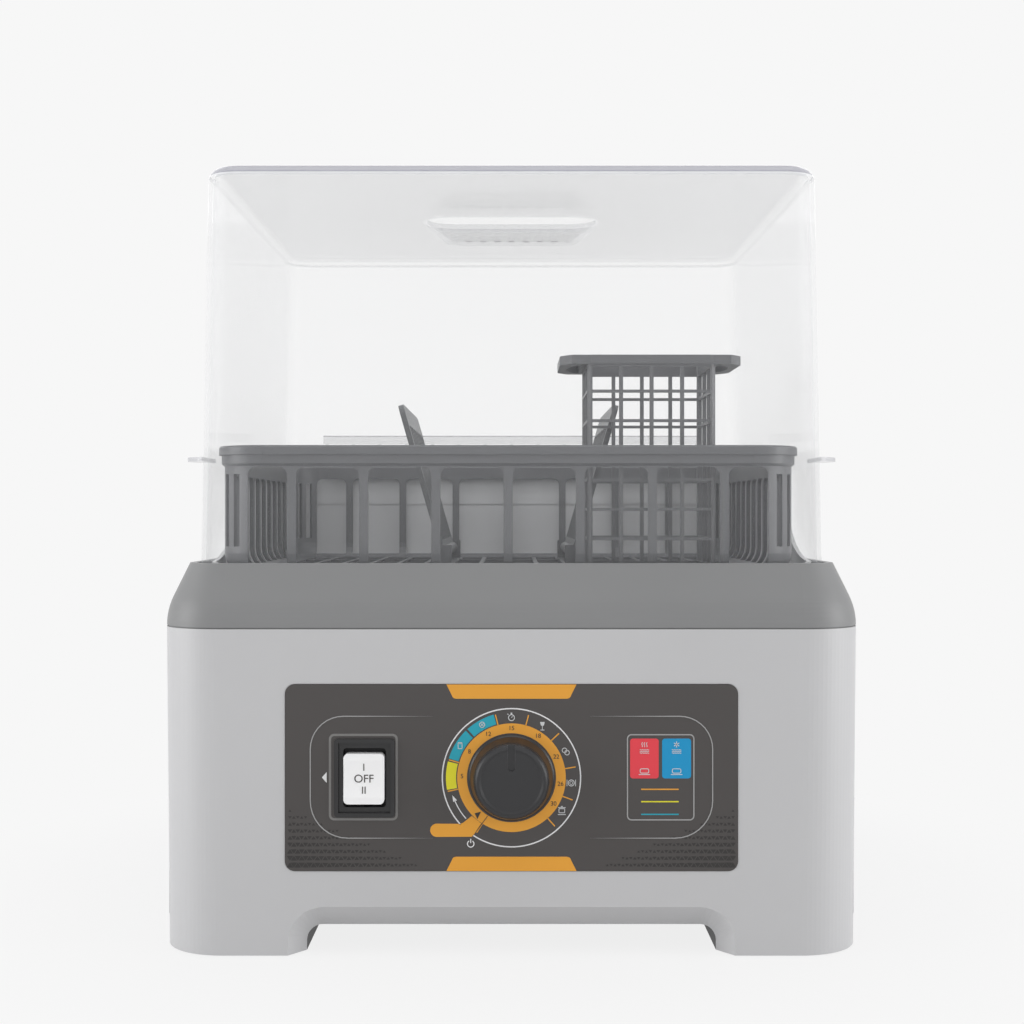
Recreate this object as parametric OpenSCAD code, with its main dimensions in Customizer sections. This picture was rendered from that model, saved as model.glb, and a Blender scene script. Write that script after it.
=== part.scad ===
// Countertop dishwasher with a clear hinged lid. Millimetres, +Z up, front towards -Y.
// The origin is on the table, midway between the front of the dial and the end of the rear inlet.

/* [Body] */
// Overall width of the body at the seam
body_w = 400; // [380:5:440]
// Overall depth of the body
body_d = 390; // [370:5:430]
// Plan radius of the body's upright corners
corner_r = 36; // [30:1:44]
// Wall of the moulded casing and top frame
wall = 3; // [2:0.5:4]
// Height of the seam between casing and top frame
seam_z = 183.5; // [180:0.5:200]
// How far each side leans in from the seam down to the table
side_draft = 1.7; // [0:0.1:4]
// How far the rubber feet hold the casing off the table
foot_proud = 0.8; // [0.5:0.1:3]

/* [Arch between the feet] */
// Half width of the arch behind its lip
arch_half_w = 116; // [90:1:125]
// Height of the arch behind its lip
arch_h = 15.3; // [12:0.1:22]
// How far the lip flares sideways
lip_flare = 9.2; // [4:0.1:14]
// How far the lip flares upwards
lip_rise = 12.7; // [6:0.1:16]
// Depth of the flared lip
lip_depth = 12; // [6:1:18]

/* [Top frame] */
// Height of the top frame above the seam
frame_h = 36.5; // [34:0.5:48]
// Radius of the curve that starts the shoulder
shoulder_r = 38; // [30:1:45]
// Angle of the shoulder's flat slope from the vertical
shoulder_angle = 26; // [20:1:30]
// Width of the rim round the lid
rim_w = 4; // [3:0.5:6]
// How deep the lid stands inside the rim
lid_sink = 4; // [3:0.5:6]

/* [Lid] */
// Height of the lid's top above the table
lid_top_z = 450; // [430:5:480]
// Wall of the clear lid
lid_wall = 2.6; // [2:0.1:3.5]
// Gap between the lid and the rim
lid_gap = 1; // [0.6:0.1:1.5]
// How far each lid wall leans in from bottom to top
lid_draft = 4.2; // [2:0.1:6]
// Radius of the lid's upper edge
lid_edge_r = 8; // [5:0.5:12]
// How far the finger tabs stand out
tab_proud = 12.2; // [8:0.1:16]
// Length of a finger tab along the lid
tab_len = 44; // [40:1:80]
// Thickness of a finger tab
tab_t = 2.4; // [1.6:0.1:4]
// Height of the finger tabs above the table
tab_z = 279; // [270:1:300]
// How far back the middle of a tab lies from the lid's front
tab_back = 40; // [36:1:80]
// Length of the finger recess in the lid's top
recess_len = 116; // [90:1:130]
// Width of the finger recess
recess_w = 38; // [30:1:50]
// Depth of the finger recess
recess_depth = 13; // [8:0.5:16]
// Number of steam slots in the recess
slot_count = 9; // [5:1:9]

/* [Hinge] */
// Distance of the hinge axis in front of the body's back
hinge_inset = 9; // [8:0.5:11]
// Height of the hinge axis above the top frame
hinge_rise = 8; // [8:0.5:12]
// Distance of each hinge from the middle
hinge_x = 110; // [80:1:130]
// Diameter of a hinge pin
hinge_pin_d = 4; // [3:0.1:4.5]
// Width of the lid's knuckle
knuckle_w = 24; // [16:1:30]

/* [Tub] */
// Wall of the moulded tub
tub_wall = 2.4; // [2:0.1:3]
// Height of the tub floor beside its wall
tub_floor_z = 166; // [164:1:172]
// Height of the splash guard's top
guard_top_z = 276; // [260:1:280]
// Depth of the sump below the tub floor
sump_depth = 74; // [66:1:78]
// Radius of the sump's round ends
sump_r = 44; // [42:1:48]
// Distance between the sump's two round ends
sump_span = 66; // [64:1:72]

/* [Dish basket] */
// Distance from the body's side to the basket's rim
basket_in = 27.7; // [27.7:0.1:36]
// Distance from the body's front to the basket's rim
basket_in_y = 29; // [29:0.5:40]
// How far the basket sits to the left of the middle
basket_shift = 2; // [0:0.1:2]
// Height of the basket's rim above the table
basket_top_z = 288; // [280:1:294]
// Height of the basket's underside above the table
basket_bottom_z = 211; // [210:0.5:212]
// Wall of the basket
basket_wall = 2.4; // [2:0.1:3]
// Plan radius of the basket's corners
basket_r = 30; // [25:1:36]
// Width of a post between two windows
post_w = 5.2; // [4:0.2:8]
// Spacing of the slats in the side walls
slat_pitch = 24; // [20:0.5:28]

/* [Plate racks] */
// Distance of a rack's pivot from the basket's middle
rack_x = 42; // [38:1:44]
// Height of the rack pivots above the basket's underside
rack_pivot_h = 12.3; // [11:0.1:14]
// Length of a rack's blade from its pivot
rack_len = 98.5; // [80:0.5:98.5]
// Lean of a rack when it stands up
rack_lean = 16; // [8:1:24]
// Depth of a rack from front to back
rack_d = 160; // [120:1:160]
// Thickness of a rack's blade
rack_t = 3.4; // [2.5:0.1:4]

/* [Cutlery basket] */
// Width of the cutlery basket
cutlery_w = 75.8; // [70:0.2:78]
// Depth of the cutlery basket
cutlery_d = 71; // [60:1:72]
// Height of the cutlery basket
cutlery_h = 127.5; // [100:0.5:128]
// Left side of the cutlery basket from the middle of the machine
cutlery_x = 44.6; // [43:0.2:60]
// Front of the cutlery basket behind the front of the body
cutlery_back = 44; // [42:1:46]
// Width of a thin upright bar
bar_w = 2.3; // [1.8:0.1:3]
// Height of a thin level bar
wire_h = 1.7; // [1.4:0.1:2.4]

/* [Controls] */
// Width of the control panel
panel_w = 253.5; // [240:0.5:260]
// Height of the control panel
panel_h = 104.6; // [100:0.2:110]
// Corner radius of the control panel
panel_r = 5.6; // [3:0.1:8]
// Thickness of the control panel
panel_t = 1.6; // [1.4:0.1:2]
// Height of the panel's middle above the table
panel_z = 100.5; // [98:0.5:106]
// Diameter of the timer knob at its foot
knob_d = 48; // [40:1:56]
// Height of the timer knob off the panel
knob_h = 14; // [12:0.5:20]
// Diameter of the timer shaft
shaft_d = 6; // [5:0.1:8]
// Distance of the rocker switch to the left of the knob
rocker_x = 82.2; // [75:0.2:88]
// Width of the rocker's black bezel
bezel_w = 33.8; // [32:0.2:38]
// Height of the rocker's black bezel
bezel_h = 43.7; // [42:0.1:46]
// Width of the white rocker key
key_w = 22.7; // [18:0.1:24]
// Height of the white rocker key
key_h = 28.1; // [24:0.1:30]

/* [Wash system] */
// Half length of the spray arm
arm_r = 138; // [110:1:142]
// Height of the spray arm's underside above the table
arm_z = 186.4; // [184:0.2:188]
// Width of the spray arm at its hub
arm_w = 34; // [28:1:40]
// Diameter of the wash pump's spiral housing
pump_d = 78; // [70:1:80]
// Diameter of the wash pump's motor
motor_d = 64; // [56:1:68]
// Length of the wash pump's motor
motor_len = 72; // [60:1:76]
// Diameter of the filter cup
filter_d = 62; // [56:1:66]
// Diameter of the heating tube
heater_d = 7; // [6:0.1:8]
// Diameter of the threaded water inlet
inlet_d = 26.4; // [26.4:0.1:26.4]
// Diameter of the drain spigot
drain_d = 19; // [17:0.5:21]
// Distance of the inlet to the left of the middle
inlet_x = 120; // [110:1:125]
// Distance of the drain to the right of the middle
drain_x = 124; // [120:1:130]

/* [Hidden] */

$fn = 48;
eps = 0.02;
fit = 0.05;             // running clearance of a shaft in its bearing
gap = 0.3;              // clearance between bodies that pass each other
front_y = -body_d / 2;
back_y = body_d / 2;

shoulder_base = seam_z + 0.8;
frame_top_z = seam_z + frame_h;
arc_h = shoulder_r * sin(shoulder_angle);
arc_in = shoulder_r * (1 - cos(shoulder_angle));
shoulder_in = arc_in + (frame_top_z - shoulder_base - arc_h) * tan(shoulder_angle);
lid_base_z = frame_top_z - lid_sink + 0.2;
lid_in = shoulder_in + rim_w + lid_gap;
lid_hw = body_w / 2 - lid_in;
lid_hd = body_d / 2 - lid_in;
lid_r = corner_r - lid_in + 7;
lid_tilt = lid_draft / (lid_top_z - lid_base_z);
ledge_z = frame_top_z - lid_sink;
ledge_in = lid_in + lid_wall + 1.4;
flange_z = ledge_z - wall;
flange_in = ledge_in + 7;

hinge_y = back_y - hinge_inset;
hinge_z = frame_top_z + hinge_rise;
barrel_r = hinge_pin_d / 2 + 3;
lug_r = hinge_pin_d / 2 + 4;
lug_w = 6;

basket_hw = body_w / 2 - basket_in;
basket_hd = body_d / 2 - basket_in_y;
post_pitch = (basket_hw - 46.45) / 3;
seam = 0.06;
basket_y = -0.5;
basket_body_in = 3.4;
floor_t = 3;
cutlery_z = basket_bottom_z + floor_t + 0.2;
rim_h = 5.3;
loop_out = 13.6;

guard_hw = body_w / 2 - lid_in - lid_wall - 2.4;
guard_hd = basket_y + basket_hd + 0.9 + tub_wall;
guard_r = 24;
tub_hw = body_w / 2 - flange_in - 0.5;
tub_hd = body_d / 2 - flange_in - 0.5;
tub_lip = flange_in - ledge_in + 0.3;
tub_r = 28;

sump_top_z = tub_floor_z - 14;
sump_z = sump_top_z - sump_depth;
heater_x = 10;
heater_y = 10;
heater_hd = 62;
heater_leg = 14;
riser_r = 13;
journal_r = 8;
arm_h = 13.4;
rack_mid_y = front_y + 121 + rack_d / 2;
filter_x = sump_span;
filter_top_z = sump_top_z + 5;

panel_y = front_y - 0.4;
recess_y = front_y + panel_t - 0.4;
knob_front_y = panel_y - knob_h - 0.3;
reach_y = -knob_front_y;
key_tilt_d = 4.5;
key_proud = 5;

pump_y = sump_r + 26;
pump_z = sump_z + 12;
pump_t = 26;
motor_y = pump_y + pump_t / 2;
port_r = 12;
delivery_z = pump_z - pump_d / 2 + port_r;
hose_bend = 20;
hose_x = -64;

drain_pump_x = sump_span + sump_r + 4;
drain_z = sump_z + 30;
inlet_z = 62;
valve_w = 36;
spigot_collar = 2;
valve_port_y = back_y - wall - 12;
inlet_hose_r = 7;
inlet_port_z = 190;
base_z = arch_h + wall;
boss_x = body_w / 2 - 20;
boss_y = body_d / 2 - 26;
pad_x = (arch_half_w + lip_flare + body_w / 2) / 2 - 3;
pad_y = back_y - 42;
pad_r = 11;

light_grey = [0.78, 0.78, 0.79];
mid_grey = [0.53, 0.54, 0.54];
basket_grey = [0.36, 0.37, 0.39];
dark = [0.16, 0.16, 0.17];
black = [0.07, 0.07, 0.08];
clear = [0.9, 0.92, 0.95, 0.35];
steel = [0.75, 0.76, 0.78];

// ---------- shared shapes ----------

// Rectangle w by d with true round corners
module rrect(w, d, r) {
    square([w - 2 * r, d], center = true);
    square([w, d - 2 * r], center = true);
    for (sx = [-1, 1], sy = [-1, 1])
        translate([sx * (w / 2 - r), sy * (d / 2 - r)]) circle(r);
}

// Prism of a rounded rectangle standing on z
module rbox(w, d, r, h) {
    linear_extrude(h) rrect(w, d, r);
}

// Sweeps a profile round a rounded rectangle. In the profile, x is the distance outward from the
// corner's centre (r on the reference outline) and y is the height.
module ring_sweep(hw, hd, r) {
    for (k = [0 : 3]) {
        sx = k == 0 || k == 3 ? 1 : -1;
        sy = k < 2 ? 1 : -1;
        translate([sx * (hw - r), sy * (hd - r), 0]) rotate([0, 0, 90 * k])
            rotate_extrude(angle = 90, $fn = 96) children();
    }
    for (s = [0, 180]) rotate([0, 0, s]) {
        translate([hw - r, hd - r, 0]) rotate([90, 0, 0])
            linear_extrude(2 * (hd - r)) children();
        translate([-(hw - r), hd - r, 0]) rotate([90, 0, 90])
            linear_extrude(2 * (hw - r)) children();
    }
}

// Cylinders along X and Y, starting at the origin
module rod_x(r, l) {
    rotate([0, 90, 0]) cylinder(h = l, r = r);
}
module rod_y(r, l) {
    rotate([-90, 0, 0]) cylinder(h = l, r = r);
}

// Plate of an XZ outline, t thick, from y = 0 towards +Y
module plate_xz(t) {
    translate([0, t, 0]) rotate([90, 0, 0]) linear_extrude(t) children();
}

// Plate of a YZ outline, t thick, from x = 0 towards +X
module plate_yz(t) {
    rotate([90, 0, 90]) linear_extrude(t) children();
}

// Quarter bend of a pipe: centre line of radius bend, from +X to +Y round the origin
module bend(r_out, r_in, bend_r) {
    rotate_extrude(angle = 90, $fn = 48) translate([bend_r, 0]) difference() {
        circle(r_out, $fn = 32);
        if (r_in > 0) circle(r_in, $fn = 32);
    }
}

// Stadium outline of the sump, grown by g
module sump_outline(g) {
    circle(sump_r + g);
    translate([sump_span, 0]) circle(sump_r + g);
    translate([0, -sump_r - g]) square([sump_span, 2 * (sump_r + g)]);
}

// ---------- body ----------

// Outline of the arch between the feet: rounded top corners, open below the table
module arch_outline(w, h, r) {
    translate([-w, -1]) square([2 * w, h + 1 - r]);
    translate([-w + r, -1]) square([2 * (w - r), h + 1]);
    for (s = [-1, 1]) translate([s * (w - r), h - r]) circle(r);
}

// Flared arch mouth at the front, with its skin grown by g
module arch_mouth(g) {
    hull() {
        translate([0, front_y - eps, 0]) plate_xz(eps)
            arch_outline(arch_half_w + lip_flare + g, arch_h + lip_rise + g, 20 + g, $fn = 32);
        translate([0, front_y + lip_depth, 0]) plate_xz(eps)
            arch_outline(arch_half_w + g, arch_h + g, 9 + g, $fn = 32);
    }
}

// Solid of the casing's outside, moved in by g, from z0 to z1
module body_block(g, z0, z1) {
    hull() {
        translate([0, 0, z0]) linear_extrude(eps)
            rrect(body_w - 2 * g - 2 * side_draft * (1 - z0 / seam_z),
                body_d - 2 * g, corner_r - g, $fn = 80);
        translate([0, 0, z1 - eps]) linear_extrude(eps)
            rrect(body_w - 2 * g - 2 * side_draft * (1 - z1 / seam_z),
                body_d - 2 * g, corner_r - g, $fn = 80);
    }
}

module casing() {
    color(light_grey) difference() {
        union() {
            difference() {
                body_block(0, foot_proud, seam_z);
                body_block(wall, foot_proud - 1, seam_z + 1);
            }
            // lips of the front and rear arch
            for (s = [0, 1]) mirror([0, s, 0]) intersection() {
                arch_mouth(wall);
                translate([-body_w / 2, front_y + 0.5, foot_proud])
                    cube([body_w, lip_depth - 0.5, 60]);
            }
            // panel backing rim
            translate([0, front_y + wall - eps, panel_z]) plate_xz(2) difference() {
                rrect(panel_w + 6, panel_h + 6, panel_r);
                rrect(panel_w - 4, panel_h - 4, panel_r);
            }
            // bosses for the base screws
            for (sx = [-1, 1], sy = [-1, 1])
                translate([sx * boss_x, sy * boss_y, base_z]) cylinder(h = 26, r = 6);
            for (sx = [-1, 1], sy = [-1, 1])
                translate([sx * (body_w / 2 - 12) - 9, sy * boss_y - 1.2, base_z]) cube([18, 2.4, 24]);
        }
        for (s = [0, 1]) mirror([0, s, 0]) arch_mouth(0);
        // seat of the control panel
        translate([0, front_y - 1, panel_z]) plate_xz(1 + recess_y - front_y)
            rrect(panel_w + 0.4, panel_h + 0.4, panel_r + 0.2);
        translate([0, front_y - 1, panel_z]) rod_y(shaft_d / 2 + 3, 20);
        translate([-rocker_x, front_y - 1, panel_z]) plate_xz(20)
            square([bezel_w - 3, bezel_h - 3], center = true);
        for (sx = [-1, 1], sy = [-1, 1])
            translate([sx * boss_x, sy * boss_y, base_z - 1]) cylinder(h = 20, r = 1.6);
        // rear openings: water inlet, drain and mains lead
        translate([-inlet_x, back_y - 8, inlet_z]) rod_y(inlet_d / 2 + 0.4, 12);
        translate([drain_x, back_y - 8, drain_z + 16]) rod_y(drain_d / 2 + 0.4, 12);
        translate([drain_x, back_y - 8, inlet_z]) rod_y(8.2, 12);
        // rear cooling slots
        for (k = [-4 : 4]) translate([k * 10, back_y - 5, 100]) cube([4, 10, 40]);
    }
}

module base_plate() {
    color(dark) difference() {
        union() {
            // raised middle between the arches
            translate([-arch_half_w - wall, front_y + lip_depth + 0.5, arch_h])
                cube([2 * (arch_half_w + wall), body_d - 2 * lip_depth - 1, wall]);
            // inner sides of the feet
            for (s = [-1, 1]) translate([s * (arch_half_w + wall / 2) - wall / 2,
                front_y + lip_depth + 0.5, foot_proud])
                cube([wall, body_d - 2 * lip_depth - 1, arch_h]);
            // soles
            difference() {
                intersection() {
                    body_block(wall + 0.3, foot_proud, seam_z);
                    translate([-body_w / 2, front_y, foot_proud + 0.4]) cube([body_w, body_d, wall]);
                }
                translate([-arch_half_w, -body_d, 0]) cube([2 * arch_half_w, 2 * body_d, 20]);
                for (s = [0, 1]) mirror([0, s, 0])
                    translate([-arch_half_w - lip_flare - wall - 0.5, front_y - 1, 0])
                        cube([2 * (arch_half_w + lip_flare + wall + 0.5), lip_depth + 1.5, 20]);
            }
            // screw towers
            for (sx = [-1, 1], sy = [-1, 1])
                translate([sx * boss_x, sy * boss_y, foot_proud + 0.4])
                    cylinder(h = base_z - foot_proud - 0.4, r = 6);
        }
        for (sx = [-1, 1], sy = [-1, 1]) translate([sx * boss_x, sy * boss_y, 0]) {
            cylinder(h = 40, r = 2.2);
            cylinder(h = foot_proud + 8, r = 4.2);
        }
        for (sx = [-1, 1], sy = [-1, 1])
            translate([sx * pad_x, sy * pad_y, foot_proud + 0.4 - 1]) cylinder(h = 2, r = pad_r);
        // air slots under the motor
        for (k = [-4 : 4]) translate([k * 9 - 2, 90, arch_h - 1]) cube([4, 60, wall + 2]);
    }
}

module foot_pads() {
    color(black) for (sx = [-1, 1], sy = [-1, 1])
        translate([sx * pad_x, sy * pad_y, 0]) {
            cylinder(h = foot_proud + 1.4, r = pad_r);
        }
}

module base_screws() {
    color(steel) for (sx = [-1, 1], sy = [-1, 1])
        translate([sx * boss_x, sy * boss_y, foot_proud + 8 - 2.4]) difference() {
            union() {
                cylinder(h = 2.4, r = 3.6);
                cylinder(h = base_z + 12 - foot_proud - 8, r = 1.6);
            }
            translate([0, 0, -1]) cylinder(h = 2, r = 1.4, $fn = 6);
        }
}

// Cross-section of the top frame: shoulder, rim, lid ledge, tub flange and a tongue into the casing
module frame_profile() {
    n = 6;
    r = corner_r;
    ri = shoulder_r - wall;
    under_in = shoulder_in - (frame_top_z - flange_z + wall) * tan(shoulder_angle)
        + wall / cos(shoulder_angle);
    tongue_in = wall + 0.3 + tub_wall;
    polygon(concat(
        [[r - 1, seam_z], [r - 1, shoulder_base]],
        [for (k = [0 : n]) let (a = shoulder_angle * k / n)
            [r - shoulder_r * (1 - cos(a)), shoulder_base + shoulder_r * sin(a)]],
        [[r - shoulder_in, frame_top_z],
         [r - shoulder_in - rim_w, frame_top_z],
         [r - shoulder_in - rim_w, ledge_z],
         [r - ledge_in, ledge_z],
         [r - ledge_in, flange_z],
         [r - flange_in, flange_z],
         [r - flange_in, flange_z - wall],
         [r - under_in, flange_z - wall]],
        [for (k = [n : -1 : 2]) let (a = shoulder_angle * k / n)
            [r - wall - ri * (1 - cos(a)), shoulder_base + ri * sin(a)]],
        [[r - tongue_in, shoulder_base + 4],
         [r - tongue_in, seam_z - 8],
         [r - wall - 0.3, seam_z - 8],
         [r - wall - 0.3, seam_z]]));
}

// Places its children at both hinges
module at_hinges() {
    for (s = [-1, 1]) translate([s * hinge_x, hinge_y, hinge_z]) children();
}

module top_frame() {
    color(mid_grey) difference() {
        union() {
            ring_sweep(body_w / 2, body_d / 2, corner_r) frame_profile();
            // hinge lugs: a round eye on a foot that stands on the rear shoulder
            at_hinges() for (s = [-1, 1])
                translate([s * (knuckle_w / 2 + gap + lug_w / 2) - lug_w / 2, 0, 0]) {
                    rod_x(lug_r, lug_w);
                    plate_yz(lug_w) polygon([[-lug_r + 1.4, 0], [-lug_r + 1.4, frame_top_z - 4 - hinge_z],
                        [lug_r, -hinge_rise - 24], [lug_r, 0]]);
                }
        }
        at_hinges() translate([-knuckle_w, 0, 0]) rod_x(hinge_pin_d / 2, 2 * knuckle_w);
    }
}

module hinge_pins() {
    l = knuckle_w + 2 * gap + 2 * lug_w;
    color(steel) at_hinges() translate([-l / 2, 0, 0]) {
        rod_x(hinge_pin_d / 2, l + 1);
        translate([-1.2, 0, 0]) rod_x(hinge_pin_d / 2 + 1.2, 1.2);
    }
}

// Side view of the splash guard: a swept front edge that climbs to the rim of the basket
module guard_outline() {
    n = 8;
    polygon(concat(
        [[front_y + 40, flange_z]],
        [for (k = [0 : n]) let (a = 90 * k / n)
            [front_y + 40 + 80 * sin(a), ledge_z + 4 + 34 * (1 - cos(a))]],
        [[front_y + 122, guard_top_z], [back_y, guard_top_z], [back_y, flange_z]]));
}

module wash_tub() {
    wi = tub_r - tub_wall;
    color(mid_grey) difference() {
        union() {
            // basin wall
            ring_sweep(tub_hw, tub_hd, tub_r) translate([wi, tub_floor_z - tub_wall])
                square([tub_wall, flange_z - tub_floor_z + 2 * tub_wall]);
            // flange that lies in the top frame
            translate([0, 0, flange_z]) linear_extrude(tub_wall) difference() {
                rrect(2 * (tub_hw + tub_lip), 2 * (tub_hd + tub_lip), corner_r - ledge_in);
                rrect(2 * (tub_hw - tub_wall), 2 * (tub_hd - tub_wall), wi);
            }
            // floor that falls to the sump
            hull() {
                translate([0, 0, tub_floor_z - tub_wall])
                    rbox(2 * tub_hw, 2 * tub_hd, tub_r, tub_wall, $fn = 32);
                translate([0, 0, sump_top_z - tub_wall]) linear_extrude(tub_wall)
                    sump_outline(tub_wall + 6, $fn = 32);
            }
            // splash guard behind and beside the basket
            intersection() {
                ring_sweep(guard_hw, guard_hd, guard_r) {
                    translate([guard_r - tub_wall, flange_z]) square([tub_wall, guard_top_z - flange_z]);
                    // stiffening band
                    translate([guard_r - tub_wall - 0.8, guard_top_z - 20.4]) square([1, 6.4]);
                }
                translate([-body_w / 2, 0, 0]) plate_yz(body_w) guard_outline();
            }
            // corner shelves for the dish basket
            for (sx = [-1, 1], sy = [-1, 1]) intersection() {
                translate([sx * (tub_hw - 19) - 18, sy * (tub_hd - 19) - 18, basket_bottom_z - 8.2])
                    cube([36, 36, 8]);
                translate([0, 0, basket_bottom_z - 10])
                    rbox(2 * tub_hw - 2, 2 * tub_hd - 2, tub_r - 1, 12);
            }
            // fill port at the back
            translate([-inlet_x, tub_hd - 1, inlet_port_z]) rod_y(inlet_hose_r, 7);
        }
        hull() {
            translate([0, 0, tub_floor_z])
                rbox(2 * (tub_hw - tub_wall), 2 * (tub_hd - tub_wall), wi, tub_wall, $fn = 32);
            translate([0, 0, sump_top_z]) linear_extrude(tub_wall) sump_outline(6, $fn = 32);
        }
        translate([0, 0, sump_top_z - 10]) linear_extrude(20) sump_outline(-3);
        translate([-inlet_x, tub_hd - 8, inlet_port_z]) rod_y(inlet_hose_r - 2.4, 20);
        // holes for the legs of the heating tube
        for (s = [-1, 1]) translate([heater_x + s * heater_leg, heater_y + heater_hd, sump_top_z - 12])
            cylinder(h = 24, r = heater_d / 2);
    }
}

// ---------- lid ----------

// Section of the lid's side wall with its rounded upper edge, grown in by g from the outside
module lid_wall_section() {
    n = 6;
    h = lid_top_z - lid_base_z;
    r = lid_r;
    ro = lid_edge_r;
    ri = lid_edge_r - lid_wall;
    polygon(concat(
        [[r, lid_base_z]],
        [for (k = [0 : n]) let (a = 90 * k / n)
            [r - lid_draft - ro * (1 - cos(a)), lid_top_z - ro * (1 - sin(a))]],
        [for (k = [n : -1 : 0]) let (a = 90 * k / n)
            [r - lid_draft - lid_wall - ri * (1 - cos(a)), lid_top_z - lid_wall - ri * (1 - sin(a))]],
        [[r - lid_wall, lid_base_z]]));
}

// Boat-shaped finger recess hanging from the lid's top, grown by g
module recess_boat(g) {
    hull() {
        translate([0, 0, lid_top_z - lid_wall]) linear_extrude(lid_wall)
            rrect(recess_len + 2 * g, recess_w + 2 * g, recess_w / 2 + g - 0.1, $fn = 32);
        translate([0, 2, lid_top_z - recess_depth - lid_wall + 2.4 - g]) linear_extrude(eps)
            rrect(recess_len - 30 + 2 * g, recess_w - 16 + 2 * g, recess_w / 2 - 8 + g - 0.1, $fn = 32);
    }
}

module lid() {
    top_hw = lid_hw - lid_draft - lid_edge_r + eps;
    top_hd = lid_hd - lid_draft - lid_edge_r + eps;
    frame_hw = lid_hw - 31.9;
    frame_p = (frame_hw - 3) / 7;
    color(clear) difference() {
        union() {
            ring_sweep(lid_hw, lid_hd, lid_r) lid_wall_section();
            translate([0, 0, lid_top_z - lid_wall])
                rbox(2 * top_hw, 2 * top_hd, max(lid_r - lid_draft - lid_edge_r + eps, 2), lid_wall);
            recess_boat(lid_wall);
            // ribbed frame on the rear wall
            intersection() {
                translate([0, lid_hd - 4.6, 0]) plate_xz(3.6) difference() {
                    translate([-frame_hw, tab_z - 20]) square([2 * frame_hw, 51]);
                    for (k = [-7 : 6])
                        translate([(k + 0.5) * frame_p - frame_p / 2 + 1.1, tab_z - 17])
                            square([frame_p - 2.2, 44]);
                }
                translate([0, 0, lid_base_z + 10])
                    rbox(2 * lid_hw - 2, 2 * lid_hd - 2.4, lid_r - 1, lid_top_z - lid_base_z - 100);
            }
            // hinge knuckles on short arms
            at_hinges() translate([-knuckle_w / 2, 0, 0]) {
                rod_x(barrel_r, knuckle_w);
                plate_yz(knuckle_w) polygon([[lid_hd - lid_wall / 2 - hinge_y, -barrel_r + 1],
                    [0, -barrel_r + 0.4], [0, barrel_r - 0.2],
                    [lid_hd - lid_wall / 2 - 0.3 - hinge_y, barrel_r + 4]]);
            }
        }
        recess_boat(0);
        translate([0, 0, lid_top_z - 0.1]) rbox(recess_len, recess_w, recess_w / 2 - 0.1, 1);
        // steam slots
        for (k = [0 : slot_count - 1])
            translate([(k - (slot_count - 1) / 2) * 9.8 - 2, 5, lid_top_z - recess_depth - lid_wall - 4])
                cube([4, 5, 8]);
        at_hinges() translate([-knuckle_w, 0, 0]) rod_x(hinge_pin_d / 2 + fit, 2 * knuckle_w);
    }
}

// Finger tabs: thin crescents on both sides of the lid near its front
module lid_tabs() {
    tab_r = (pow(tab_len / 2, 2) + pow(tab_proud, 2)) / (2 * tab_proud);
    tab_in = lid_tilt * (tab_z - lid_base_z);
    color(clear) for (s = [-1, 1]) intersection() {
        translate([s * (lid_hw - tab_in + tab_proud - tab_r), -lid_hd + tab_back, tab_z])
            cylinder(h = tab_t, r = tab_r, $fn = 96);
        translate([s * (lid_hw - tab_in + seam + 50) - 50, -lid_hd, tab_z - 1])
            cube([100, 100, tab_t + 2]);
    }
}

// ---------- controls ----------

module control_panel() {
    color(dark) translate([0, panel_y, panel_z]) difference() {
        plate_xz(panel_t) rrect(panel_w, panel_h, panel_r);
        translate([0, -1, 0]) rod_y(shaft_d / 2 + 1, 5);
        translate([-rocker_x, -1, 0]) plate_xz(5) square([bezel_w - 3, bezel_h - 3], center = true);
    }
}

// Black frame of the rocker: a stepped flange on the panel and a sleeve through it
module switch_bezel() {
    color(black) translate([-rocker_x, panel_y, panel_z]) difference() {
        union() {
            translate([0, -2, 0]) plate_xz(2) rrect(bezel_w, bezel_h, 2);
            plate_xz(8) square([bezel_w - 3.4, bezel_h - 3.4], center = true);
        }
        translate([0, -3, 0]) plate_xz(3) square([bezel_w - 4.6, bezel_h - 4.6], center = true);
        translate([0, -3, 0]) plate_xz(12) rrect(key_w + 1.2, key_h + 5, 2);
    }
}

module switch_body() {
    color(dark) translate([-rocker_x, panel_y + 8, panel_z]) {
        plate_xz(22) square([bezel_w - 6, bezel_h - 6], center = true);
        for (k = [-1 : 1]) translate([-3, 22, k * 11 - 0.4]) cube([6, 8, 0.8]);
    }
}

// Rocker key: it tips about a level axis behind its face
module rocker_key() {
    color("white") translate([-rocker_x, panel_y, panel_z]) difference() {
        union() {
            translate([0, -key_proud, 0]) plate_xz(key_proud + 2.5) rrect(key_w, key_h, 2.6);
            translate([-key_w / 2 + 1, key_tilt_d, 0]) rod_x(2.6, key_w - 2);
        }
        // the face is hollowed along its height, as a rocker's is
        translate([-key_w, -key_proud - 89.4, 0]) rod_x(90, 2 * key_w, $fn = 200);
    }
}

module timer_body() {
    color(dark) translate([0, recess_y + 6, panel_z]) {
        plate_xz(3) rrect(66, 56, 4);
        translate([0, 2.9, 0]) rod_y(25, 26);
        translate([0, 28.8, -4]) plate_xz(12) rrect(44, 40, 3);
        for (s = [-1, 1]) translate([s * 27, front_y + wall - recess_y - 6, 0])
            rod_y(4, recess_y + 6 - front_y - wall + 1);
    }
}

// Shaft with a flat for the knob
module timer_shaft() {
    color(steel) translate([0, panel_y - knob_h + 4, panel_z]) difference() {
        rod_y(shaft_d / 2, knob_h - 4 + recess_y + 6 - panel_y - gap);
        translate([-shaft_d, -1, shaft_d / 2 - 1]) cube([2 * shaft_d, knob_h - 5, 4]);
    }
}

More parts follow.
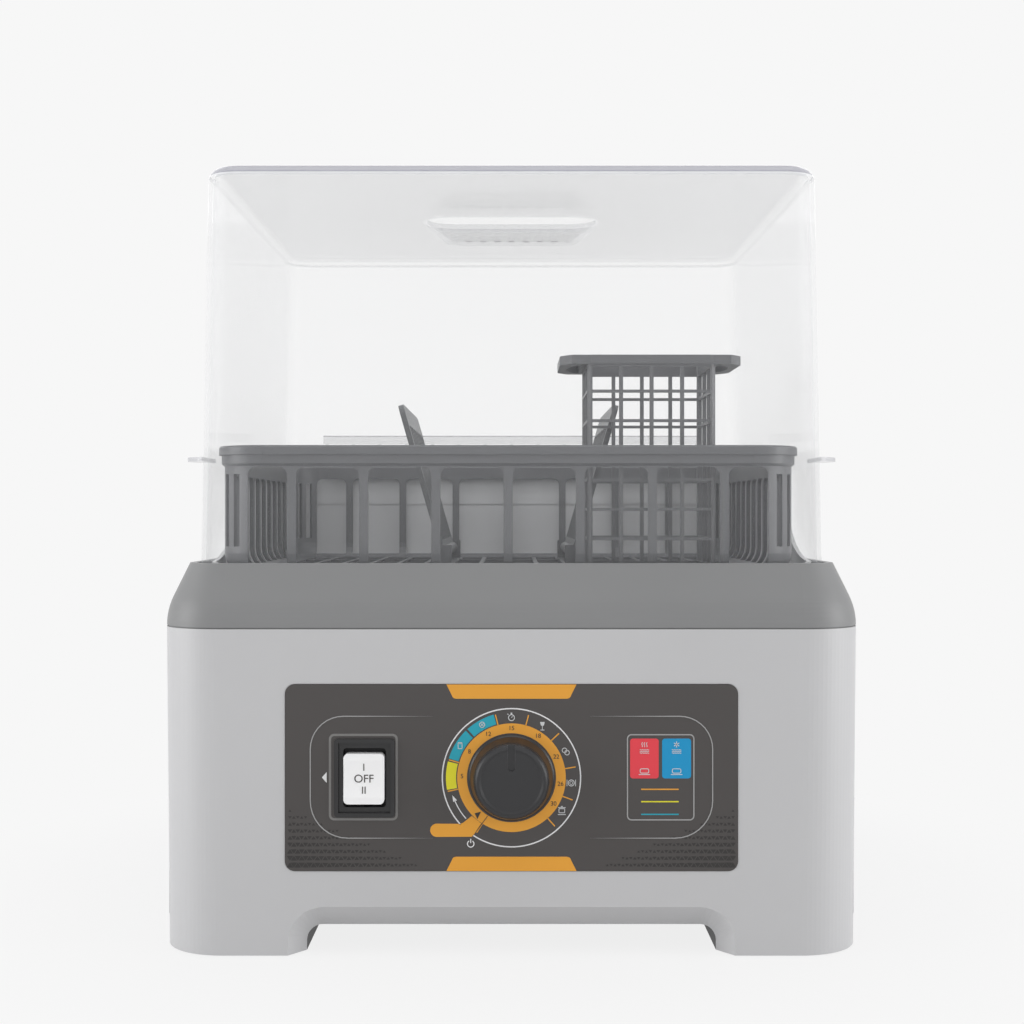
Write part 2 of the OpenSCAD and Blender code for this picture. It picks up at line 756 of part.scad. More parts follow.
module timer_knob() {
    r = knob_d / 2;
    color(black) translate([0, panel_y - gap, panel_z]) difference() {
        rotate([90, 0, 0]) rotate_extrude($fn = 96) polygon(concat(
            [[0, 0], [r, 0], [r, 1.6], [r - 0.8, 2.4], [r - 3, knob_h - 3]],
            [for (a = [0 : 22.5 : 90]) [r - 6.2 + 3 * cos(a), knob_h - 3 + 3 * sin(a)]],
            [[r - 7.4, knob_h - 0.7], [0, knob_h - 0.7]]));
        // pointer groove
        translate([-2.2, -knob_h - 1, 8]) cube([4.4, 2.6, r]);
        translate([0, -knob_h - 1, 8]) rod_y(2.2, 2.6);
        // bore for the shaft, with its flat
        difference() {
            translate([0, -knob_h + 4, 0]) rod_y(shaft_d / 2, knob_h);
            translate([-shaft_d, -knob_h + 3, shaft_d / 2 - 1]) cube([2 * shaft_d, knob_h - 5, 4]);
        }
        // hollow back
        difference() {
            translate([0, -knob_h + 4.5, 0]) rod_y(r - 6.4, knob_h);
            translate([0, -knob_h + 3, 0]) rod_y(shaft_d / 2 + 2.4, knob_h);
        }
    }
}

// ---------- wash system ----------

module sump() {
    color(dark) difference() {
        union() {
            translate([0, 0, sump_z]) linear_extrude(sump_top_z - tub_wall - 1.6 - sump_z) sump_outline(0);
            // flange under the tub
            translate([0, 0, sump_top_z - tub_wall - 4.6]) linear_extrude(3) sump_outline(4);
            // ports of the wash pump and the drain pump
            translate([0, sump_r - 6, pump_z]) rod_y(port_r + 3, pump_y - pump_t / 2 - sump_r + 6);
            translate([sump_span + sump_r - 6, 0, drain_z]) rod_x(port_r, 10);
        }
        translate([0, 0, sump_z + tub_wall]) linear_extrude(sump_depth) sump_outline(-tub_wall);
        translate([0, sump_r - 20, pump_z]) rod_y(port_r - 3, 60);
        translate([sump_span + sump_r - 20, 0, drain_z]) rod_x(port_r - 2.4, 40);
        translate([0, 0, sump_z - 5]) cylinder(h = 20, r = riser_r);
    }
}

module sump_seal() {
    color(black) translate([0, 0, sump_top_z - tub_wall - 1.6]) linear_extrude(1.6) difference() {
        sump_outline(3);
        sump_outline(-1);
    }
}

// Flat strainer over the sump, with rows of holes, round the riser and the filter cup
module strainer_plate() {
    color(steel) translate([0, 0, sump_top_z + 0.1]) difference() {
        linear_extrude(1.4) sump_outline(5);
        translate([0, 0, -1]) cylinder(h = 4, r = riser_r + 0.4);
        translate([filter_x, 0, -1]) cylinder(h = 4, r = filter_d / 2 + 0.4);
        for (a = [40 : 20 : 320], r = [20, 27, 34])
            rotate([0, 0, a]) translate([r, 0, -1]) cylinder(h = 4, r = 1.8, $fn = 8);
    }
}

// Filter cup: a perforated cylinder with a finger bar, locked by a quarter turn
module filter_cup() {
    r = filter_d / 2;
    h = filter_top_z - sump_z - 12;
    color(mid_grey) translate([filter_x, 0, sump_z + 10]) {
        difference() {
            cylinder(h = h, r = r);
            translate([0, 0, 2]) cylinder(h = h, r = r - 2);
            for (a = [0 : 20 : 340], k = [0 : 3])
                rotate([0, 0, a]) translate([r - 5, -2, 8 + k * 14]) cube([8, 4, 9]);
        }
        translate([0, 0, h - 3]) difference() {
            cylinder(h = 3, r = r - 0.5);
            for (s = [-1, 1]) translate([s * 12 - 8, -16, -1]) cube([16, 32, 5]);
        }
        translate([-2, -r + 3, h - 1]) cube([4, 2 * r - 6, 9]);
    }
}

// Riser: feeds the spray arm, with a port for the delivery hose below the sump
module spray_riser() {
    top = arm_z - gap;
    color(dark) difference() {
        union() {
            translate([0, 0, delivery_z - port_r - 3])
                cylinder(h = top - delivery_z + port_r + 3, r = riser_r);
            cylinder(h = arm_z + arm_h + gap, r = journal_r);
            translate([0, 0, arm_z + arm_h + gap - eps]) cylinder(h = 3, r = 11);
            translate([-riser_r - 9, 0, delivery_z]) rod_x(port_r - 2, 14);
        }
        translate([0, 0, -1]) cylinder(h = delivery_z - port_r - 2, r = 20);
        translate([0, 0, delivery_z - port_r])
            cylinder(h = arm_z - delivery_z + port_r + 8, r = journal_r - 2.5);
        translate([-riser_r - 12, 0, delivery_z]) rod_x(port_r - 4, 14);
        for (a = [0, 90]) rotate([0, 0, a])
            translate([-20, 0, arm_z + arm_h / 2]) rod_x(2.6, 40);
    }
}

// Two-bladed spray arm: flat hollow blades, a round hub and jets set on its upper face
module spray_arm() {
    color(mid_grey) translate([0, 0, arm_z]) difference() {
        union() {
            cylinder(h = arm_h, r = arm_w / 2);
            for (s = [0, 180]) rotate([0, 0, s]) {
                linear_extrude(arm_h - 3) polygon([[0, -arm_w / 2 + 2], [arm_r - 12, -11],
                    [arm_r - 12, 11], [0, arm_w / 2 - 2]]);
                translate([arm_r - 12, 0, 0]) cylinder(h = arm_h - 3, r = 11);
                for (x = [40, 72, 104]) translate([x, 0, 0]) cylinder(h = arm_h - 1.6, r = 4.5);
            }
        }
        translate([0, 0, -1]) cylinder(h = arm_h + 2, r = journal_r + fit);
        for (s = [0, 180]) rotate([0, 0, s]) {
            translate([10, -6, 3]) cube([arm_r - 30, 12, 4]);
            for (x = [40, 72, 104]) translate([x, -0.9, 5]) cube([1.8, 1.8, 20], center = false);
        }
        translate([0, 0, 3]) cylinder(h = 4, r = 12);
    }
}

// Heating tube: an open loop above the tub floor, on two legs that drop through it
module heater() {
    r = heater_d / 2;
    hw = 96;
    hd = heater_hd;
    bend_r = 26;
    z = sump_top_z + 19;
    color(steel) translate([heater_x, heater_y, z]) {
        for (k = [0 : 3]) {
            sx = k == 0 || k == 3 ? 1 : -1;
            sy = k < 2 ? 1 : -1;
            translate([sx * (hw - bend_r), sy * (hd - bend_r), 0]) rotate([0, 0, 90 * k]) bend(r, 0, bend_r);
        }
        for (s = [-1, 1]) translate([s * hw, -(hd - bend_r), 0]) rod_y(r, 2 * (hd - bend_r), $fn = 32);
        translate([-(hw - bend_r), -hd, 0]) rod_x(r, 2 * (hw - bend_r), $fn = 32);
        for (s = [-1, 1])
            translate([s * (hw - bend_r + heater_leg) / 2 - (hw - bend_r - heater_leg) / 2, hd, 0])
            rod_x(r, hw - bend_r - heater_leg, $fn = 32);
        for (s = [-1, 1]) translate([s * heater_leg, hd, 0]) {
            translate([0, 0, -28]) cylinder(h = 28, r = r, $fn = 32);
            sphere(r, $fn = 32);
        }
    }
}

module thermostat() {
    color(steel) translate([-sump_r - 9, 0, sump_z + 44]) {
        rod_x(9, 9);
        translate([-5, 0, 0]) rod_x(6, 6);
    }
}

// Spiral housing of the wash pump, its axis along Y, with an outlet towards -X at the bottom
module pump_volute() {
    r = pump_d / 2;
    color(dark) translate([0, pump_y - pump_t / 2, pump_z]) difference() {
        union() {
            rod_y(r, pump_t);
            translate([-50, pump_t / 2, delivery_z - pump_z]) rod_x(port_r, 50);
            translate([0, pump_t - 4, 0]) rod_y(r + 4, 4);
        }
        translate([0, 3, 0]) rod_y(r - 3, pump_t);
        translate([0, -1, 0]) rod_y(port_r - 3, 10);
        translate([-60, pump_t / 2, delivery_z - pump_z]) rod_x(port_r - 2.4, 50);
    }
}

module pump_motor() {
    color(steel) translate([0, motor_y, pump_z]) difference() {
        union() {
            rod_y(pump_d / 2 + 4, 3);
            rod_y(motor_d / 2, motor_len);
            translate([0, motor_len, 0]) rod_y(12, 4);
            // cooling ribs of the stator stack
            for (k = [0 : 4]) translate([0, 14 + k * 10, 0]) rod_y(motor_d / 2 + 2, 5);
        }
        translate([0, -1, 0]) rod_y(4 + fit, motor_len - 6);
        translate([0, 8, 0]) rod_y(motor_d / 2 - 8, motor_len - 20);
    }
}

// Impeller with its shaft and rotor
module pump_impeller() {
    color(mid_grey) translate([0, pump_y - pump_t / 2 + 5, pump_z]) {
        translate([0, 12, 0]) rod_y(pump_d / 2 - 6, 2);
        for (k = [0 : 5]) rotate([0, 60 * k, 0])
            translate([7, 2, -1]) cube([pump_d / 2 - 16, 10.5, 2]);
        translate([0, 2, 0]) rod_y(8, 12);
        translate([0, 2, 0]) rod_y(4, motor_len + 11);
        translate([0, pump_t + 8, 0]) rod_y(motor_d / 2 - 12, motor_len - 34);
    }
}

// Cradle that carries the motor on the base plate
module pump_bracket() {
    h = pump_z - base_z;
    color(steel) translate([0, motor_y + motor_len / 2 + 10, base_z]) difference() {
        union() {
            translate([-30, 0, 0]) cube([60, 8, h]);
            translate([-42, -6, 0]) cube([84, 20, 3]);
        }
        translate([0, -1, h]) rod_y(motor_d / 2 + 2, 10);
        for (s = [-1, 1]) translate([s * 36, 4, -1]) cylinder(h = 6, r = 2.2);
    }
}

// Delivery hose: from the spiral housing round to the riser
module delivery_hose() {
    ro = port_r + 2.4;
    x1 = hose_x;
    y1 = pump_y;
    z1 = delivery_z;
    color(black) difference() {
        union() {
            translate([x1, y1, z1]) rod_x(ro, 24);
            translate([x1, y1 - hose_bend, z1]) rotate([0, 0, 90]) bend(ro, 0, hose_bend);
            translate([x1 - hose_bend, hose_bend, z1]) rod_y(ro, y1 - 2 * hose_bend);
            translate([x1, hose_bend, z1]) rotate([0, 0, 180]) bend(ro, 0, hose_bend);
            translate([x1, 0, z1]) rod_x(ro, -x1 - riser_r - 1);
        }
        translate([x1 + 4, y1, z1]) rod_x(port_r, 24);
        translate([-riser_r - 12, 0, z1]) rod_x(port_r - 2, 40);
    }
}

module drain_pump() {
    color(dark) translate([drain_pump_x, 0, drain_z]) difference() {
        union() {
            rod_x(25, 18);
            translate([18, -18, -18]) cube([30, 36, 36]);
            translate([drain_x - drain_pump_x, 0, 16]) rod_y(drain_d / 2 - 2.4, 36);
        }
        translate([-1, 0, 0]) rod_x(8, 10);
    }
}

// Drain line: internal hose that ends in the spigot behind the body
module drain_hose() {
    r = drain_d / 2;
    color(black) translate([drain_x, 0, drain_z + 16]) difference() {
        union() {
            translate([0, 26, 0]) rod_y(r, reach_y - 26);
            // collars on both sides of the rear wall
            translate([0, back_y - wall - 3, 0]) rod_y(r + 3, 3);
            translate([0, back_y, 0]) rod_y(r + 3, spigot_collar);
        }
        translate([0, 20, 0]) rod_y(r - 2.4, reach_y);
    }
}

// Solenoid water valve with a threaded inlet through the rear wall
module inlet_valve() {
    color("white") translate([-inlet_x, back_y - wall, inlet_z]) difference() {
        union() {
            translate([0, -4, 0]) rod_y(inlet_d / 2, reach_y - back_y + wall + 4);
            translate([0, wall, 0]) rod_y(inlet_d / 2 + 3, spigot_collar);
            translate([-valve_w / 2, -valve_w - 3, -14]) cube([valve_w, valve_w + 3, 28]);
            translate([0, valve_port_y - back_y + wall, 13]) cylinder(h = 22, r = 11);
            translate([-12, -34, -32]) cube([24, 26, 19]);
        }
        translate([0, -10, 0]) rod_y(inlet_d / 2 - 3.4, 60);
        translate([0, valve_port_y - back_y + wall, 20]) cylinder(h = 22, r = inlet_hose_r - 2.4);
    }
}

// Fill hose: up from the valve to the port at the back of the tub
module inlet_hose() {
    y = valve_port_y;
    x = -inlet_x;
    top = inlet_z + 35;
    color(black) difference() {
        union() {
            translate([x, y, top]) cylinder(h = inlet_port_z - top, r = inlet_hose_r);
            translate([x, y, inlet_port_z]) sphere(inlet_hose_r + 1.4);
            translate([x, tub_hd + 6, inlet_port_z]) rod_y(inlet_hose_r, y - tub_hd - 6);
        }
        translate([x, y, top - 1]) cylinder(h = 20, r = inlet_hose_r - 2.4);
    }
}

// Water-level switch on a post of the base plate, with its air tube to the sump
module pressure_switch() {
    x = -70;
    y = -60;
    z = sump_z + 6;
    color(dark) {
        translate([x, y, base_z]) cylinder(h = 30, r = 5);
        translate([x, y, base_z + 28]) cylinder(h = 16, r = 24);
        translate([x, y, base_z + 43]) cylinder(h = 6, r = 8);
        translate([x, y, base_z + 48]) cylinder(h = z - base_z - 48 + 2, r = 2.5, $fn = 24);
        translate([x, y, z + 2]) sphere(2.5, $fn = 24);
        translate([x, y, z + 2]) rod_y(2.5, -y - 30, $fn = 24);
        translate([x, -30, z + 2]) sphere(2.5, $fn = 24);
        translate([x, -30, z + 2]) rod_x(2.5, -x - sqrt(pow(sump_r, 2) - pow(27.5, 2)) - 0.05, $fn = 24);
    }
}

module cord_gland() {
    color(black) translate([drain_x, back_y - wall, inlet_z]) difference() {
        union() {
            translate([0, -3, 0]) rod_y(11, 3);
            rod_y(8, wall + 6);
            translate([0, wall, 0]) rod_y(11, 2.5);
        }
        translate([0, -4, 0]) rod_y(4, 20);
    }
}

// ---------- baskets ----------

// Section of the dish basket: rim, second band, wall and a floor edge that curls in
module basket_section() {
    n = 5;
    r = basket_r;
    w = basket_wall;
    b = basket_body_in;
    rb = 14;
    z0 = basket_bottom_z;
    z1 = basket_top_z;
    polygon(concat(
        [[r - 1, z1], [r, z1 - 1], [r, z1 - 5.3], [r - 1.6, z1 - 5.3], [r - 1.6, z1 - 10.5],
         [r - b, z1 - 12]],
        [for (k = [0 : n]) let (a = 90 * k / n) [r - b - rb * (1 - cos(a)), z0 + rb * (1 - sin(a))]],
        [[r - b - rb - 3, z0], [r - b - rb - 3, z0 + 3]],
        [for (k = [n : -1 : 0]) let (a = 90 * k / n)
            [r - b - w - (rb - w) * (1 - cos(a)), z0 + rb - (rb - w) * sin(a)]],
        [[r - b - w, z1 - 4], [r - 2.4, z1 - 2.4], [r - 2.4, z1]]));
}

// Window w wide between z0 and z1 with round upper corners, as an outline
module window_outline(w, z0, z1, r) {
    translate([-w / 2, z0]) square([w, z1 - z0 - r]);
    translate([-w / 2 + r, z0]) square([w - 2 * r, z1 - z0]);
    for (s = [-1, 1]) translate([s * (w / 2 - r), z1 - r]) circle(r, $fn = 24);
}

module at_basket() {
    translate([-basket_shift, basket_y, 0]) children();
}

module dish_basket() {
    hw = basket_hw;
    hd = basket_hd;
    z_lo = basket_bottom_z + 5.7;
    z_hi = basket_top_z - 12.6;
    posts = 3;
    side_n = floor((2 * (hd - basket_r) - 10) / slat_pitch / 2);
    color(basket_grey) at_basket() difference() {
        ring_sweep(hw, hd, basket_r) basket_section();
        // front and back windows
        for (k = [-posts : posts - 1]) translate([(k + 0.5) * post_pitch, -hd - 1, 0])
            plate_xz(2 * hd + 2) window_outline(post_pitch - post_w, z_lo, z_hi, 5);
        for (s = [-1, 1])
            translate([s * (posts * post_pitch + post_w / 2 + 11.5), -hd - 1, 0])
                plate_xz(2 * hd + 2) window_outline(23, z_lo, z_hi, 5);
        // windows between the slats of both sides
        for (k = [-side_n : side_n - 1]) translate([-hw - 1, (k + 0.5) * slat_pitch, 0])
            plate_yz(2 * hw + 2) window_outline(slat_pitch - post_w, z_lo - 1, z_hi - 4, 4);
        // slots between the slats of the corners
        for (sx = [-1, 1], sy = [-1, 1], a = [38, 60, 82])
            translate([sx * (hw - basket_r), sy * (hd - basket_r), basket_bottom_z + 18])
                rotate([0, 0, sx * sy * (90 - a) + (sx < 0 ? 180 : 0)])
                    translate([10, -2.4, 0]) cube([basket_r, 4.8, z_hi - basket_bottom_z - 22]);
        // seams between the four flat panels and the four corners that clip together
        for (e = [-1, 1]) {
            translate([-hw - 1, e * (hd - basket_r) - seam / 2, basket_bottom_z - 1])
                cube([2 * hw + 2, seam, basket_top_z - basket_bottom_z + 2]);
            translate([e * (hw - basket_r) - seam / 2, -hd - 1, basket_bottom_z - 1])
                cube([seam, 2 * hd + 2, basket_top_z - basket_bottom_z + 2]);
        }
    }
}

// Floor of the dish basket: a flat grille of bars
module basket_floor() {
    in = basket_body_in + 14 + 3;
    w = 2 * (basket_hw - in);
    d = 2 * (basket_hd - in);
    nx = 16;
    ny = 5;
    cx = w / nx;
    cy = d / ny;
    color(basket_grey) at_basket() {
        difference() {
            translate([0, 0, basket_bottom_z]) rbox(w, d, basket_r - in, floor_t);
            for (i = [0 : nx - 1], j = [0 : ny - 1])
                translate([-w / 2 + i * cx + 1.5, -d / 2 + j * cy + 2, basket_bottom_z - 1])
                    cube([cx - 3, cy - 4, 5]);
        }
        // strips under the rack rails
        for (s = [-1, 1]) translate([s * rack_x - 6, -d / 2 + 1, basket_bottom_z]) cube([12, d - 2, floor_t]);
    }
}

// Two rails on the floor, each with the bearing blocks of a rack at its ends
module rack_rails() {
    len = rack_d + 2 * gap + 8;
    color(basket_grey) at_basket() for (s = [-1, 1])
        translate([s * rack_x, rack_mid_y - basket_y - len / 2, basket_bottom_z]) difference() {
            union() {
                translate([-6, 0, floor_t]) cube([12, len, 1.4]);
                for (y = [0, len - 4]) translate([-6, y, floor_t]) cube([12, 4, rack_pivot_h + 5 - floor_t]);
            }
            translate([0, -1, rack_pivot_h]) rod_y(2.2 + fit, len + 2);
        }
}

// One plate rack: a leaning comb on a rod, s is -1 for the left one and 1 for the right one
module rack(s) {
    slots = 8;
    pitch = (rack_d - 12) / slots;
    color(basket_grey) at_basket()
        translate([s * rack_x, rack_mid_y - basket_y, basket_bottom_z + rack_pivot_h])
            rotate([0, s * rack_lean, 0]) {
                translate([0, -rack_d / 2 - gap - 4, 0]) rod_y(2.2, rack_d + 2 * gap + 8);
                translate([0, -rack_d / 2, 0]) rod_y(4, rack_d);
                difference() {
                    translate([-rack_t / 2, -rack_d / 2, 0]) plate_yz(rack_t) {
                        square([rack_d, rack_len - 8]);
                        translate([8, 0]) square([rack_d - 16, rack_len]);
                        for (e = [8, rack_d - 8]) translate([e, rack_len - 8]) circle(8);
                    }
                    for (k = [0 : slots - 1])
                        translate([-rack_t, -rack_d / 2 + 6 + (k + 0.5) * pitch, 0])
                            plate_yz(2 * rack_t) window_outline(pitch - 5, 8, rack_len - 14, 3);
                }
            }
}
module rack_left() {
    rack(-1);
}
module rack_right() {
    rack(1);
}

module at_cutlery() {
    translate([cutlery_x + cutlery_w / 2, front_y + cutlery_back + cutlery_d / 2, 0]) children();
}

// Cutlery basket without its rim: a floor and four grid walls, with seams where they clip together
module cutlery_basket() {
    w = cutlery_w;
    d = cutlery_d;
    h = cutlery_h - rim_h - seam;
    z0 = cutlery_z;
    side = 3.1;
    cols = 4;
    col_p = (w - 2 * side + bar_w) / cols;
    side_cols = 3;
    side_p = (d - 2 * side + bar_w) / side_cols;
    // height of each level bar's middle above the floor of the basket
    bars = [for (j = [6 : -1 : 0]) j == 6 ? 3.4 : cutlery_h - 21.3 - j * 17.4];
    color(basket_grey) at_cutlery() difference() {
        translate([0, 0, z0]) rbox(w, d, 4, h);
        translate([0, 0, z0 + 2.4]) rbox(w - 4.8, d - 4.8, 1.6, cutlery_h);
        for (j = [0 : 6]) let (a = bars[j] + wire_h / 2, b = j == 6 ? h - 1.5 : bars[j + 1] - wire_h / 2) {
            for (i = [0 : cols - 1]) translate([-w / 2 + side + i * col_p, -d, z0 + a])
                cube([col_p - bar_w, 2 * d, b - a]);
            for (i = [0 : side_cols - 1]) translate([-w, -d / 2 + side + i * side_p, z0 + a])
                cube([2 * w, side_p - bar_w, b - a]);
        }
        // drain holes
        for (i = [-1 : 1], j = [-1 : 1])
            translate([i * 20 - 6, j * 18 - 5, z0 - 1]) cube([12, 10, 5]);
        // seams
        translate([-w, -d, z0 + 2.4]) cube([2 * w, 2 * d, seam]);
        for (e = [-1, 1]) translate([-w, e * (d / 2 - 4) - seam / 2, z0 + 2.4])
            cube([2 * w, seam, cutlery_h]);
    }
}

// Rim of the cutlery basket with a bowed finger loop at each end
module cutlery_rim() {
    w = cutlery_w + 2.4;
    d = cutlery_d + 2.4;
    tip = w / 2 + loop_out;
    loop_r = (pow(d / 2, 2) + pow(loop_out, 2)) / (2 * loop_out);
    color(basket_grey) at_cutlery() translate([0, 0, cutlery_z + cutlery_h - rim_h]) linear_extrude(rim_h)
        difference() {
            union() {
                rrect(w, d, 5);
                for (s = [-1, 1]) intersection() {
                    translate([s * (tip - loop_r), 0]) circle(loop_r, $fn = 128);
                    square([2 * tip + 2, d - 1], center = true);
                }
            }
            rrect(w - 7.2, d - 7.2, 1.6);
            for (s = [-1, 1]) intersection() {
                translate([s * (tip - loop_r), 0]) circle(loop_r - 3.6, $fn = 128);
                translate([s * (w / 2 + 1.4 + tip) - tip, -d / 2 + 4]) square([2 * tip, d - 8]);
            }
        }
}

casing();
base_plate();
foot_pads();
base_screws();
top_frame();
hinge_pins();
wash_tub();
lid();
lid_tabs();
control_panel();
switch_bezel();
switch_body();
rocker_key();
timer_body();
timer_shaft();
timer_knob();
sump();
sump_seal();
strainer_plate();
filter_cup();
spray_riser();
spray_arm();
heater();
thermostat();
pump_volute();
pump_motor();
pump_impeller();
pump_bracket();
delivery_hose();
drain_pump();
drain_hose();
inlet_valve();
inlet_hose();
pressure_switch();
cord_gland();
dish_basket();
basket_floor();
rack_rails();
rack_left();
rack_right();
cutlery_basket();
cutlery_rim();
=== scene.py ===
"""Countertop dishwasher: materials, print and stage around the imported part.

Lengths are in metres in the part's frame, apart from the panel's print, which is drawn in
millimetres from the dial's centre, with angles in degrees clockwise from the top of the dial.
"""
import math

import bmesh
import bpy
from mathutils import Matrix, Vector


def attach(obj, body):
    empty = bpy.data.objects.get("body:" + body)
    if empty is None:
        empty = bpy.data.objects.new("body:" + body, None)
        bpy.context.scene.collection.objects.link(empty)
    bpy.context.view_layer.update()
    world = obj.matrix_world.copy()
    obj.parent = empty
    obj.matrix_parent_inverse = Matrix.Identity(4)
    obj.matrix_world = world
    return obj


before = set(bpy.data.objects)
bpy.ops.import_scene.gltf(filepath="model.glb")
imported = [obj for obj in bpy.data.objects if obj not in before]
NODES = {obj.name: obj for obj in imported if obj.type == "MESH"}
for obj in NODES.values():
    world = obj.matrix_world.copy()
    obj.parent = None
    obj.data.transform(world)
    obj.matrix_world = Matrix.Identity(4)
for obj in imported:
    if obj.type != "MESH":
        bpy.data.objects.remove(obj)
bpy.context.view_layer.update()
MM = 0.001

# ---------------------------------------------------------------- node helpers


def add_node(tree, kind, values=None):
    """A node with constant values on the inputs named."""
    node = tree.nodes.new(kind)
    for key, value in (values or {}).items():
        node.inputs[key].default_value = value
    return node


def math_node(tree, op, *values):
    """Output of a math node; each value is a number or another node's output."""
    node = tree.nodes.new("ShaderNodeMath")
    node.operation = op
    for socket, value in zip(node.inputs, values):
        if isinstance(value, (int, float)):
            socket.default_value = value
        else:
            tree.links.new(value, socket)
    return node.outputs[0]


def separate(tree, vector):
    node = tree.nodes.new("ShaderNodeSeparateXYZ")
    tree.links.new(vector, node.inputs[0])
    return node.outputs


def step_up(tree, value, low, high):
    """0 below low, 1 above high."""
    span = add_node(tree, "ShaderNodeMapRange", {"From Min": low, "From Max": high})
    tree.links.new(value, span.inputs["Value"])
    return span.outputs["Result"]


def blend_color(tree, fac, a, b):
    mix = tree.nodes.new("ShaderNodeMix")
    mix.data_type = "RGBA"
    tree.links.new(fac, mix.inputs["Factor"])
    mix.inputs["A"].default_value = a + (1.0,)
    mix.inputs["B"].default_value = b + (1.0,)
    return mix.outputs["Result"]


def bumps(tree, shader, vector, noise_values, strength, distance):
    """Noise as bump on the shader's normal."""
    noise = add_node(tree, "ShaderNodeTexNoise", noise_values)
    bump = add_node(tree, "ShaderNodeBump", {"Strength": strength, "Distance": distance})
    tree.links.new(vector, noise.inputs["Vector"])
    tree.links.new(noise.outputs["Fac"], bump.inputs["Height"])
    tree.links.new(bump.outputs["Normal"], shader.inputs["Normal"])


def tone(tree, shader, vector, color, spread, rough, scale=9.0):
    """Slow drift of the colour and of the roughness over the surface."""
    noise = add_node(tree, "ShaderNodeTexNoise", {"Scale": scale, "Detail": 4.0})
    ramp = tree.nodes.new("ShaderNodeValToRGB")
    stops = ramp.color_ramp.elements
    for stop, place, factor in zip(stops, (0.3, 0.7), (1 - spread, 1 + spread)):
        stop.position = place
        stop.color = [min(1.0, c * factor) for c in color] + [1.0]
    span = add_node(tree, "ShaderNodeMapRange", {"To Min": rough - 0.05, "To Max": rough + 0.05})
    tree.links.new(vector, noise.inputs["Vector"])
    tree.links.new(noise.outputs["Fac"], ramp.inputs["Fac"])
    tree.links.new(ramp.outputs["Color"], shader.inputs["Base Color"])
    tree.links.new(noise.outputs["Fac"], span.inputs["Value"])
    tree.links.new(span.outputs["Result"], shader.inputs["Roughness"])


# ---------------------------------------------------------------- materials


def new_material(name, values):
    """A material, its tree and its shader, with constant values on the shader's inputs."""
    mat = bpy.data.materials.new(name)
    mat.use_nodes = True
    tree = mat.node_tree
    shader = tree.nodes["Principled BSDF"]
    for key, value in values.items():
        shader.inputs[key].default_value = value
    return mat, tree, shader


def plastic(name, color, rough, grain_scale=1400.0, strength=0.12, spread=0.02, coat=0.0):
    """Moulded plastic with a fine grain, in the part's own coordinates."""
    values = {"Specular IOR Level": 0.42, "Coat Weight": coat, "Coat Roughness": 0.12}
    mat, tree, shader = new_material(name, values)
    place = tree.nodes.new("ShaderNodeTexCoord").outputs["Object"]
    bumps(tree, shader, place, {"Scale": grain_scale, "Detail": 3.0}, strength, 0.0002)
    tone(tree, shader, place, color, spread, rough)
    return mat


def brushed(name, color, rough):
    """Metal with a fine grain drawn out along the level."""
    mat, tree, shader = new_material(name, {"Metallic": 1.0})
    place = tree.nodes.new("ShaderNodeTexCoord").outputs["Object"]
    stretch = add_node(tree, "ShaderNodeMapping", {"Scale": (30.0, 30.0, 1600.0)})
    tree.links.new(place, stretch.inputs["Vector"])
    bumps(tree, shader, stretch.outputs["Vector"], {"Scale": 1.0}, 0.25, 0.0001)
    tone(tree, shader, place, color, 0.04, rough, scale=30.0)
    return mat


LID_ROOF_Z = (0.44, 0.444)  # the lid's level faces above these heights are its roof, which gets a painted pale reflection
LID_FRONT_Y = (-0.160, -0.140)  # the painted shade on its top edge is at full strength ahead of these, and weaker behind them
# colour of the painted shade on the lid's rounded top edge
EDGE_SHADE = (0.36, 0.36, 0.42)


